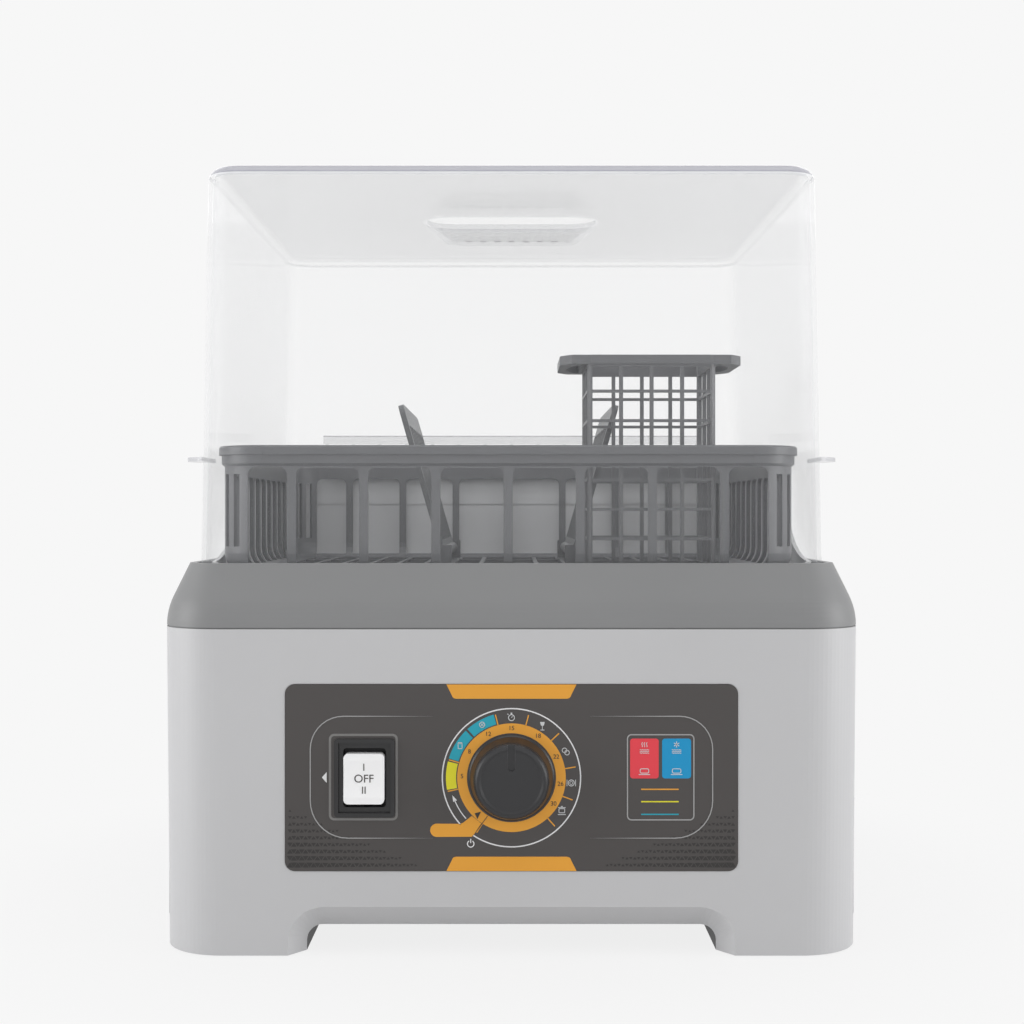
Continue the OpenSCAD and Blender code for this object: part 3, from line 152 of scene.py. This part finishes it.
def clear_plastic(name, color, veil, edge, roof=0.0, band=None):
    """Clear moulding: a thin veil that thickens where it is seen at a slant.

    veil, edge: alpha seen square on and at a grazing angle
    roof: alpha added on the lid's level roof, as a painted reflection
    band: lower height of the rounded top edge darkened with painted shade, which has a painted
    highlight line under it
    """
    mat, tree, shader = new_material(name, {"Roughness": 0.05, "IOR": 1.49})
    slant = add_node(tree, "ShaderNodeLayerWeight", {"Blend": 0.3})
    slanted = math_node(tree, "POWER", slant.outputs["Facing"], 2.0)
    alpha = math_node(tree, "MULTIPLY_ADD", slanted, edge - veil, veil)
    coord = tree.nodes.new("ShaderNodeTexCoord")
    normal = separate(tree, coord.outputs["Normal"])
    place = separate(tree, coord.outputs["Object"])
    level = step_up(tree, math_node(tree, "ABSOLUTE", normal["Z"]), 0.9, 0.99)
    # painted reflection: extra veil on the lid's level roof faces
    painted_roof_reflection = math_node(tree, "MULTIPLY", level, step_up(tree, place["Z"], *LID_ROOF_Z))
    alpha = math_node(tree, "ADD", alpha, math_node(tree, "MULTIPLY", painted_roof_reflection, roof))
    if band:
        # painted shade and a painted highlight line on outward faces that aren't level, at full
        # strength in front and weaker elsewhere
        outward = step_up(tree, normal["Z"], -0.6, -0.4)
        outward = math_node(tree, "MULTIPLY", outward, math_node(tree, "SUBTRACT", 1.0, level))
        ahead = math_node(tree, "SUBTRACT", 1.0, step_up(tree, place["Y"], *LID_FRONT_Y))
        ahead = math_node(tree, "MULTIPLY_ADD", ahead, 0.7, 0.3)
        outward = math_node(tree, "MULTIPLY", outward, ahead)
        above = step_up(tree, place["Z"], band, band + 0.0003)
        above_line = step_up(tree, place["Z"], band - 0.0012, band - 0.0009)
        # painted shade: the rounded top edge turns dark grey
        painted_edge_shade = math_node(tree, "MULTIPLY", outward, above)
        # painted highlight: a pale line just under the painted dark edge
        pale = math_node(tree, "MULTIPLY", outward, above_line)
        alpha = math_node(tree, "MAXIMUM", alpha, math_node(tree, "MULTIPLY", pale, 0.75))
        alpha = math_node(tree, "MAXIMUM", alpha, math_node(tree, "MULTIPLY", painted_edge_shade, 0.72))
        tree.links.new(blend_color(tree, painted_edge_shade, color, EDGE_SHADE), shader.inputs["Base Color"])
    else:
        shader.inputs["Base Color"].default_value = color + (1.0,)
    tree.links.new(math_node(tree, "MINIMUM", alpha, 1.0), shader.inputs["Alpha"])
    return mat


LIGHT_GREY = plastic("light_grey_plastic", (0.56, 0.56, 0.57), 0.42, spread=0.012)
MID_GREY = plastic("mid_grey_plastic", (0.235, 0.237, 0.24), 0.45)
TUB_GREY = plastic("tub_plastic", (0.66, 0.665, 0.675), 0.4)
BASKET = plastic("basket_plastic", (0.135, 0.138, 0.146), 0.42, 1100.0, spread=0.03)
RACK = plastic("rack_plastic", (0.12, 0.124, 0.13), 0.42, 1100.0, spread=0.03)
PANEL = plastic("panel_film", (0.062, 0.056, 0.054), 0.38, 2400.0, 0.06)
KNOB = plastic("knob_plastic", (0.022, 0.022, 0.024), 0.36, 1800.0, 0.1)
BEZEL = plastic("bezel_plastic", (0.02, 0.02, 0.021), 0.3, 1800.0, 0.1)
DARK = plastic("dark_plastic", (0.03, 0.03, 0.032), 0.5, 1200.0, 0.2)
BASE = plastic("base_plastic", (0.02, 0.02, 0.022), 0.55, 1000.0, 0.25)
RUBBER = plastic("black_rubber", (0.014, 0.014, 0.014), 0.75, 900.0, 0.3)
WHITE = plastic("white_plastic", (0.97, 0.97, 0.975), 0.28, 1600.0, 0.05, coat=0.3)
FILTER = plastic("filter_plastic", (0.17, 0.175, 0.18), 0.45, 1100.0)
STEEL = brushed("brushed_steel", (0.62, 0.63, 0.65), 0.32)
CLEAR = clear_plastic("clear_plastic", (0.86, 0.87, 0.89), 0.04, 0.42, roof=0.095, band=0.4449)
TABS = clear_plastic("clear_tab_plastic", (0.5, 0.5, 0.56), 0.25, 0.6)
RIBS = clear_plastic("clear_rib_plastic", (0.5, 0.5, 0.53), 0.2, 0.3)

COVERS = {
    LIGHT_GREY: ["casing"],
    MID_GREY: ["top_frame", "pump_impeller", "spray_arm"],
    BASE: ["base_plate"],
    RUBBER: ["foot_pads", "sump_seal", "delivery_hose", "drain_hose", "inlet_hose",
             "cord_gland"],
    STEEL: ["base_screws", "hinge_pins", "strainer_plate", "heater", "pump_motor",
            "pump_bracket", "timer_shaft"],
    TUB_GREY: ["wash_tub"],
    CLEAR: ["lid"],
    TABS: ["lid_tabs"],
    PANEL: ["control_panel"],
    KNOB: ["timer_knob"],
    BEZEL: ["switch_bezel"],
    DARK: ["switch_body", "timer_body", "sump", "thermostat", "pump_volute", "drain_pump",
           "pressure_switch"],
    WHITE: ["rocker_key", "inlet_valve"],
    FILTER: ["filter_cup", "spray_riser"],
    BASKET: ["dish_basket", "basket_floor", "rack_rails", "cutlery_basket", "cutlery_rim"],
    RACK: ["rack_left", "rack_right"],
}
SHARP = math.radians(28)  # edges that turn more than this stay sharp
for mat, names in COVERS.items():
    for name in names:
        obj = NODES[name]
        if not obj.data.materials:
            obj.data.materials.append(mat)
        for slot in obj.material_slots:
            slot.material = mat
        obj.data.shade_smooth()
        obj.data.set_sharp_from_angle(angle=SHARP)

# ---------------------------------------------------------------- pieces of the scene


def add_piece(name, bm, mat, body):
    """A mesh of the scene that rides on a body; uses up the bmesh."""
    mesh = bpy.data.meshes.new(name)
    bm.to_mesh(mesh)
    bm.free()
    mesh.materials.append(mat)
    obj = bpy.data.objects.new(name, mesh)
    bpy.context.scene.collection.objects.link(obj)
    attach(obj, body)


def lettering(name, items, mat, body, extrude=0.00006):
    """Plain numbers or OFF: (text, place, height, lean in degrees), facing the front."""
    bm = bmesh.new()
    for text, place, height, lean in items:
        curve = bpy.data.curves.new("tmp", "FONT")
        curve.body = text
        curve.size = height * 1.38
        curve.align_x = "CENTER"
        curve.align_y = "CENTER"
        curve.extrude = extrude
        obj = bpy.data.objects.new("tmp", curve)
        bpy.context.scene.collection.objects.link(obj)
        obj.location = place
        obj.rotation_euler = (math.radians(90 + lean), 0, 0)
        bpy.context.view_layer.update()
        mesh = bpy.data.meshes.new_from_object(obj)
        mesh.transform(obj.matrix_world)
        bm.from_mesh(mesh)
        bpy.data.objects.remove(obj)
        bpy.data.curves.remove(curve)
        bpy.data.meshes.remove(mesh)
    add_piece(name, bm, mat, body)


def boxes(name, items, mat, body):
    """Plain bars joined in one mesh: (lowest corner, highest corner)."""
    bm = bmesh.new()
    for lo, hi in items:
        for v in bmesh.ops.create_cube(bm, size=1.0)["verts"]:
            v.co = [lo[k] if v.co[k] < 0 else hi[k] for k in range(3)]
    bmesh.ops.recalc_face_normals(bm, faces=bm.faces)
    add_piece(name, bm, mat, body)


# ---------------------------------------------------------------- panel print

PANEL_Y = -0.1954  # the panel's front face
DIAL_Z = 0.1005  # height of the dial's axis
INK = 0.00012  # a layer of print stands this proud
INK_ROOT = 0.0001  # and reaches this far into the panel
DIAL_R = 33.6  # the dial's pictures stand at this radius
BAND = (31.0, 36.7)  # radii of the dial's coloured bands


def flat_ink(name, color, rough=0.4):
    return plastic(name, color, rough, grain_scale=2400.0, strength=0.05, spread=0.015)


def at(angle, r=DIAL_R):
    """A point of the dial."""
    t = math.radians(angle)
    return r * math.sin(t), r * math.cos(t)


class Print:
    """One colour of print on the panel, drawn as flat shapes."""

    def __init__(self, name, mat, slot, layer=1):
        self.name, self.mat, self.slot = name, mat, slot
        self.y = PANEL_Y - INK * layer
        self.bm = bmesh.new()

    def poly(self, pts):
        front, back = [[self.bm.verts.new((x * MM, y, DIAL_Z + z * MM)) for x, z in pts]
                       for y in (self.y, PANEL_Y + INK_ROOT)]
        self.bm.faces.new(front)
        n = len(pts)
        for k in range(n):
            following = (k + 1) % n
            self.bm.faces.new((front[k], back[k], back[following], front[following]))

    def line(self, a, b, w):
        dx, dz = b[0] - a[0], b[1] - a[1]
        s = w / 2 / math.hypot(dx, dz)
        nx, nz = -dz * s, dx * s
        self.poly([(a[0] + nx, a[1] + nz), (b[0] + nx, b[1] + nz),
                   (b[0] - nx, b[1] - nz), (a[0] - nx, a[1] - nz)])

    def path(self, pts, w):
        """A band of width w along points; w may be a list, one width for each point."""
        ws = w if isinstance(w, list) else [w] * len(pts)
        left, right = [], []
        for k, (x, z) in enumerate(pts):
            a, b = pts[max(0, k - 1)], pts[min(len(pts) - 1, k + 1)]
            d = math.hypot(b[0] - a[0], b[1] - a[1])
            nx, nz = -(b[1] - a[1]) / d * ws[k] / 2, (b[0] - a[0]) / d * ws[k] / 2
            left.append((x + nx, z + nz))
            right.append((x - nx, z - nz))
        for k in range(len(pts) - 1):
            self.poly([left[k], left[k + 1], right[k + 1], right[k]])

    def arc(self, r0, r1, a0, a1, centre=(0, 0), step=4.0):
        """Ring sector between two radii and two angles."""
        n = int(abs(a1 - a0) / step)
        for k in range(n):
            t0 = a0 + (a1 - a0) * k / n
            t1 = a0 + (a1 - a0) * (k + 1) / n
            corners = [at(t0, r0), at(t0, r1), at(t1, r1), at(t1, r0)]
            self.poly([(centre[0] + x, centre[1] + z) for x, z in corners])

    def ring(self, centre, r, w=0.4):
        self.arc(r - w, r, 0, 360, centre=centre, step=20)

    def outline(self, x0, z0, x1, z1, r, w):
        """Frame of width w with round corners."""
        outer = rounded(x0, z0, x1, z1, r)
        inner = rounded(x0 + w, z0 + w, x1 - w, z1 - w, max(0.1, r - w))
        n = len(outer)
        for k in range(n):
            following = (k + 1) % n
            self.poly([outer[k], outer[following], inner[following], inner[k]])

    def finish(self):
        self.bm.normal_update()
        bmesh.ops.recalc_face_normals(self.bm, faces=self.bm.faces)
        for f in self.bm.faces:
            if f.normal.y > 0.9:
                f.normal_flip()
        add_piece(self.name, self.bm, self.mat, "cabinet")


def rounded(x0, z0, x1, z1, r, n=6):
    """Corners of a rectangle with round corners, anticlockwise."""
    pts = []
    for cx, cz, a in ((x1 - r, z1 - r, 0), (x0 + r, z1 - r, 90),
                      (x0 + r, z0 + r, 180), (x1 - r, z0 + r, 270)):
        for k in range(n + 1):
            t = math.radians(a + 90 * k / n)
            pts.append((cx + r * math.cos(t), cz + r * math.sin(t)))
    return pts


orange = Print("print_orange", flat_ink("orange_ink", (0.80, 0.36, 0.035)), "panel_black")
orange.arc(24.9, 30.4, 0, 360)
for angle in (-14.3, 15.3, 47, 80.4, 110, 138.2, 286, 257.9, 212.4):
    orange.line(at(angle, 30.2), at(angle, 36.4), 0.65)
tab = [(-36.4, 52.2), (-33.4, 46.2), (-33.0, 45.2), (-32.2, 44.5), (-31.0, 44.2),
       (31.0, 44.2), (32.2, 44.5), (33.0, 45.2), (33.4, 46.2), (36.4, 52.2)]
for s in (1, -1):
    orange.poly([(x, z * s) for x, z in tab])
PILL_X, PILL_Z, PILL_R = -41.8, -29.4, 3.7
pill = [(PILL_X + PILL_R * math.cos(math.radians(a)), PILL_Z + PILL_R * math.sin(math.radians(a)))
        for a in range(90, 271, 15)]
pill += [(-22.3, -33.0), (-20.9, -31.6), (-16.9, -25.6), (-22.2, -21.4), (-27.2, -25.3),
         (-28.8, -25.8)]
orange.poly(pill)
orange.line((72.6, -6.5), (93.6, -6.5), 0.7)
orange.finish()

teal = Print("print_teal", flat_ink("teal_ink", (0.012, 0.36, 0.47)), "panel_black")
teal.arc(*BAND, 287.2, 315.8)
teal.arc(*BAND, 317.8, 344.2)
teal.line((72.6, -20.5), (93.6, -20.5), 0.7)
teal.finish()

yellow = Print("print_yellow", flat_ink("yellow_ink", (0.78, 0.72, 0.02)), "panel_black")
yellow.arc(*BAND, 259.3, 284.4)
yellow.line((72.6, -13.4), (93.6, -13.4), 0.7)
yellow.finish()

red = Print("print_red", flat_ink("red_ink", (0.78, 0.05, 0.07)), "panel_black")
red.poly(rounded(66.4, -0.4, 82.4, 21.9, 1.6))
red.finish()

blue = Print("print_blue", flat_ink("blue_ink", (0.0, 0.29, 0.58)), "panel_black")
blue.poly(rounded(84.3, -0.4, 100.5, 21.9, 1.6))
blue.finish()

# circle round the dial, arrow at its start, pointer of the switch, standby mark
white = Print("print_white", flat_ink("white_ink", (0.78, 0.78, 0.79)), "white_plastic")
white.arc(38.35, 39.05, -132.6, 213.5)
white.path([at(a, 34.2) for a in range(228, 249, 4)], 0.55)
white.poly([at(253.5, 34.5), at(247.5, 33.0), at(247.5, 35.3)])
white.poly([(-106.1, 0.15), (-103.4, 3.2), (-103.4, -2.9)])
white.arc(1.55, 2.1, 30, 330, centre=(-22.8, -37.0), step=12)
white.line((-22.8, -36.6), (-22.8, -34.2), 0.55)
white.finish()

# small plain pictures of what each programme is for
icons = Print("print_pictures", flat_ink("picture_ink", (0.62, 0.63, 0.64)), "white_plastic",
              layer=2)
# a stopwatch
x, z = at(0)
icons.ring((x, z), 1.9, 0.45)
icons.line((x, z + 1.9), (x, z + 2.8), 0.9)
icons.line((x, z), (x + 0.6, z + 0.8), 0.35)
icons.line((x - 1.7, z + 1.7), (x - 2.2, z + 2.2), 0.4)
# a glass
x, z = at(31)
icons.poly([(x - 1.3, z + 2.4), (x + 1.3, z + 2.4), (x + 0.9, z + 0.6), (x, z),
            (x - 0.9, z + 0.6)])
icons.line((x, z + 0.2), (x, z - 2.0), 0.35)
icons.line((x - 1.1, z - 2.1), (x + 1.1, z - 2.1), 0.4)
# two small plates
x, z = at(64)
icons.ring((x - 0.5, z + 0.6), 1.5)
icons.ring((x + 0.9, z - 0.7), 1.5)
# a plate between a knife and a fork
x, z = at(95)
icons.ring((x, z), 1.9)
icons.ring((x, z), 1.0, 0.3)
for dx in (-2.4, 2.4):
    icons.line((x + dx, z - 1.8), (x + dx, z + 1.8), 0.35)
# a pot
x, z = at(123)
icons.outline(x - 1.8, z - 1.5, x + 1.8, z + 1.2, 0.5, 0.4)
icons.line((x - 2.1, z + 1.6), (x + 2.1, z + 1.6), 0.4)
icons.line((x - 0.5, z + 2.2), (x + 0.5, z + 2.2), 0.5)
icons.line((x - 2.2, z - 2.3), (x + 2.2, z - 2.3), 0.4)
# a jar
x, z = at(302, 33.9)
icons.outline(x - 1.3, z - 1.9, x + 1.3, z + 1.9, 0.6, 0.4)
icons.line((x - 1.2, z + 1.1), (x + 1.2, z + 1.1), 0.3)
# a crossed ring
x, z = at(331, 33.9)
icons.ring((x, z), 1.7)
for s in (1, -1):
    icons.line((x - 1.2, z - 1.2 * s), (x + 1.2, z + 1.2 * s), 0.35)
# water over a bowl, in both fields of the legend
WARM_X, COLD_X = 74.4, 92.4
for cx in (WARM_X, COLD_X):
    for k in range(3):
        wave_z = 15.6 - k * 0.9
        icons.path([(cx - 2.6 + 5.2 * j / 12, wave_z + 0.22 * math.sin(j * math.pi / 1.5))
                    for j in range(13)], 0.35)
    icons.outline(cx - 2.6, 2.4, cx + 2.6, 5.2, 1.0, 0.4)
    icons.line((cx - 3.2, 1.8), (cx + 3.2, 1.8), 0.4)
# steam for warm, a snowflake for cold
for k in (-1, 0, 1):
    icons.path([(WARM_X + k * 1.3 + 0.25 * math.sin(j * 1.3), 17.2 + 0.45 * j)
                for j in range(7)], 0.35)
for k in range(3):
    t = math.radians(60 * k + 30)
    dx, dz = 1.7 * math.cos(t), 1.7 * math.sin(t)
    icons.line((COLD_X - dx, 18.6 - dz), (COLD_X + dx, 18.6 + dz), 0.4)
icons.finish()

# pale line round the print, below and above, that fades out towards the middle
SIDE_X = 112.6
LINE_END_X = 44.0
LINE_W = 0.55
FADE = 12
grey_ink = flat_ink("grey_ink", (0.20, 0.195, 0.19))
lines = Print("print_outlines", flat_ink("pale_line_ink", (0.36, 0.36, 0.36)), "panel_black",
              layer=2)
for s in (-1, 1):
    for v, top, r in ((-1, -33.8, 21.0), (1, 34.4, 18.5)):
        bend_x = SIDE_X - r
        bend_z = top - v * r
        pts = [(s * SIDE_X, 0.0), (s * SIDE_X, bend_z)]
        for a in range(10, 91, 10):
            t = math.radians(a)
            pts.append((s * (bend_x + r * math.cos(t)), bend_z + v * r * math.sin(t)))
        pts += [(s * (bend_x + (LINE_END_X - bend_x) * k / FADE), top) for k in range(1, FADE + 1)]
        widths = [LINE_W] * (len(pts) - FADE)
        widths += [LINE_W * (1 - k / FADE) + 0.02 for k in range(1, FADE + 1)]
        lines.path(pts, widths)
lines.outline(64.6, -23.9, 102.4, 24.4, 2.6, 0.65)
lines.finish()
surround = Print("print_switch_outline", grey_ink, "panel_black")
surround.outline(-102.2, -23.9, -63.6, 24.6, 3.0, 1.3)
surround.finish()

# lattice of small triangles in the lower corners, thinning out towards the middle
PITCH = 4.4
ROW = PITCH * math.sqrt(3) / 2
ROWS, COLUMNS = 9, 34
LATTICE_X, LATTICE_Z = 124.0, -50.8
TAB_CLEAR_X = 46
lattice = Print("print_lattice", flat_ink("lattice_ink", (0.026, 0.024, 0.023), 0.5),
                "panel_black")
for s in (-1, 1):
    for row in range(ROWS):
        for col in range(COLUMNS):
            cx = s * (LATTICE_X - col * PITCH / 2)
            reach = row / 8.6 + col / 34.0
            if reach > 0.95 or abs(cx) < TAB_CLEAR_X:
                continue
            size = 0.43 * (1.0 - 0.6 * reach)
            half_w = PITCH * size
            half_h = ROW * size * 1.7 / 2
            if (row + col) % 2 == 1:
                half_h = -half_h
            cz = LATTICE_Z + row * ROW + ROW / 2
            lattice.poly([(cx - half_w, cz - half_h), (cx + half_w, cz - half_h),
                          (cx, cz + half_h)])
lattice.finish()

NUMBERS_R = 27.7
numbers = []
for text, angle in (("5", 271.6), ("8", 301.8), ("12", 331.9), ("15", 0),
                    ("18", 32.4), ("22", 65), ("26", 97.2), ("30", 121.7)):
    x, z = at(angle, NUMBERS_R)
    numbers.append((text, (x * MM, PANEL_Y - INK * 1.6, DIAL_Z + z * MM), 0.0025, 0))
DARK_INK = flat_ink("dark_ink", (0.03, 0.025, 0.02))
lettering("dial_numbers", numbers, DARK_INK, "cabinet")

# each half of the rocker key leans back by the angle given
KEY_X = -0.0822
marks = [("OFF", (KEY_X, -0.19988, DIAL_Z), 0.0046, 0),
         ("I", (KEY_X, -0.20006, DIAL_Z + 0.0064), 0.0042, 4.1),
         ("II", (KEY_X, -0.20006, DIAL_Z - 0.0064), 0.0042, -4.1)]
KEY_INK = flat_ink("key_ink", (0.05, 0.045, 0.04))
lettering("key_marks", marks, KEY_INK, "rocker", 0.00008)

# dark pointer and edge where the pill meets the dial
pointer = Print("print_pointer", DARK_INK, "panel_black", layer=2)
pointer.poly([at(222, 25.6), at(219.5, 30.0), at(226, 28.6)])
pointer.line(at(212, 25.2), at(213.2, 36.6), 0.35)
pointer.finish()

# ---------------------------------------------------------------- details of knob and lid

# painted highlights: pale edges of the groove in the knob's face, where light catches them
GROOVE_HIGHLIGHT = plastic("groove_edge_highlight", (0.1, 0.1, 0.105), 0.36, 1800.0, 0.1)
EDGE_X, EDGE_HALF_W = 0.00205, 0.00012
EDGE_Y = (-0.20825, -0.2080)
EDGE_Z = (DIAL_Z + 0.0068, DIAL_Z + 0.0203)
edges = [((s * EDGE_X - EDGE_HALF_W, EDGE_Y[0], EDGE_Z[0]),
          (s * EDGE_X + EDGE_HALF_W, EDGE_Y[1], EDGE_Z[1])) for s in (-1, 1)]
boxes("knob_groove_highlights", edges, GROOVE_HIGHLIGHT, "knob")

# ribbed frame inside the lid's rear wall: a rail, the ribs under it, its top edge
RIB_Y = (0.17215, 0.17225)
RIB_Z = (0.259, 0.3032)
RAIL_HALF_W, RAIL_TOP = 0.150, 0.3098
RIB_PITCH, RIB_HALF_W = 0.021, 0.0011
bars = [((-RAIL_HALF_W, RIB_Y[0], RIB_Z[1]), (RAIL_HALF_W, RIB_Y[1], RAIL_TOP))]
bars += [((k * RIB_PITCH - RIB_HALF_W, RIB_Y[0], RIB_Z[0]),
          (k * RIB_PITCH + RIB_HALF_W, RIB_Y[1], RIB_Z[1])) for k in range(-7, 8)]
boxes("lid_rear_ribs", bars, RIBS, "lid_body")
top_edge = [((-RAIL_HALF_W, RIB_Y[0] - 0.0001, 0.3090), (RAIL_HALF_W, RIB_Y[1], 0.3100))]
boxes("lid_rear_edge", top_edge, TABS, "lid_body")

# ---------------------------------------------------------------- stage

PALE = 0.93  # brightness of the background
WORLD_LIGHT = 0.45
FLOOR_SIZE = 30
FLOOR_FADE = (0.22, 0.42)  # the floor turns plain between these distances from the middle


def empty_tree(owner):
    owner.use_nodes = True
    owner.node_tree.nodes.clear()
    return owner.node_tree


def background_rays(tree):
    """1 for camera, glossy and transmission rays, which see a plain background."""
    path = tree.nodes.new("ShaderNodeLightPath").outputs
    seen = math_node(tree, "MAXIMUM", path["Is Camera Ray"], path["Is Glossy Ray"])
    return math_node(tree, "MAXIMUM", seen, path["Is Transmission Ray"])


def mix_to_surface(tree, fac, first, second, kind):
    """Mixes two shaders by fac, into an output node of the kind given."""
    mix = tree.nodes.new("ShaderNodeMixShader")
    out = tree.nodes.new(kind)
    tree.links.new(fac, mix.inputs["Fac"])
    tree.links.new(first.outputs[0], mix.inputs[1])
    tree.links.new(second.outputs[0], mix.inputs[2])
    tree.links.new(mix.outputs[0], out.inputs["Surface"])


def floor_material():
    """Pale floor: lit and shadowed close to the machine, plain pale further out."""
    mat = bpy.data.materials.new("floor_pale")
    tree = empty_tree(mat)
    lit = add_node(tree, "ShaderNodeBsdfDiffuse", {"Color": (0.80, 0.80, 0.80, 1)})
    plain = add_node(tree, "ShaderNodeEmission", {"Color": (PALE, PALE, PALE, 1)})
    coord = tree.nodes.new("ShaderNodeTexCoord")
    distance = tree.nodes.new("ShaderNodeVectorMath")
    distance.operation = "LENGTH"
    near, far = FLOOR_FADE
    span = add_node(tree, "ShaderNodeMapRange",
                    {"From Min": near, "From Max": far, "To Min": 0.9})
    span.interpolation_type = "SMOOTHSTEP"
    tree.links.new(coord.outputs["Object"], distance.inputs[0])
    tree.links.new(distance.outputs["Value"], span.inputs["Value"])
    plainness = math_node(tree, "MULTIPLY", span.outputs["Result"], background_rays(tree))
    mix_to_surface(tree, plainness, lit, plain, "ShaderNodeOutputMaterial")
    return mat


bpy.ops.mesh.primitive_plane_add(size=FLOOR_SIZE, location=(0, 0, 0))
floor = bpy.context.active_object
floor.name = "floor"
floor.data.materials.append(floor_material())

world = bpy.data.worlds.new("studio")
bpy.context.scene.world = world
sky = empty_tree(world)
light = add_node(sky, "ShaderNodeBackground", {"Color": (1, 1, 1, 1), "Strength": WORLD_LIGHT})
backdrop = add_node(sky, "ShaderNodeBackground", {"Color": (PALE, PALE, PALE, 1)})
mix_to_surface(sky, background_rays(sky), light, backdrop, "ShaderNodeOutputWorld")


def lamp(name, place, aim, size, power):
    data = bpy.data.lights.new(name, "AREA")
    data.shape = "RECTANGLE"
    data.size, data.size_y = size
    data.energy = power
    obj = bpy.data.objects.new(name, data)
    bpy.context.scene.collection.objects.link(obj)
    obj.location = place
    obj.rotation_euler = (Vector(aim) - Vector(place)).to_track_quat("-Z", "Y").to_euler()


lamp("front_left", (-2.2, -0.65, 0.5), (0, 0, 0.2), (1.2, 1.4), 26)
lamp("front_right", (2.2, -0.65, 0.5), (0, 0, 0.2), (1.2, 1.4), 26)
lamp("above", (0, -0.3, 2.0), (0, 0, 0.2), (1.8, 1.8), 12)
lamp("front_low", (0, -2.4, 0.35), (0, 0, 0.05), (2.4, 0.5), 4)
lamp("behind", (0, 1.6, 1.3), (0, 0, 0.3), (2.0, 1.2), 6)

cam_data = bpy.data.cameras.new("camera")
cam_data.lens = 54.5
cam_data.sensor_width = 36.0
cam = bpy.data.objects.new("camera", cam_data)
bpy.context.scene.collection.objects.link(cam)
cam.location = (0.0003, -1.063, 0.2492)
cam.rotation_euler = (math.radians(90), 0, 0)
bpy.context.scene.camera = cam
bpy.context.scene.view_settings.view_transform = "Standard"
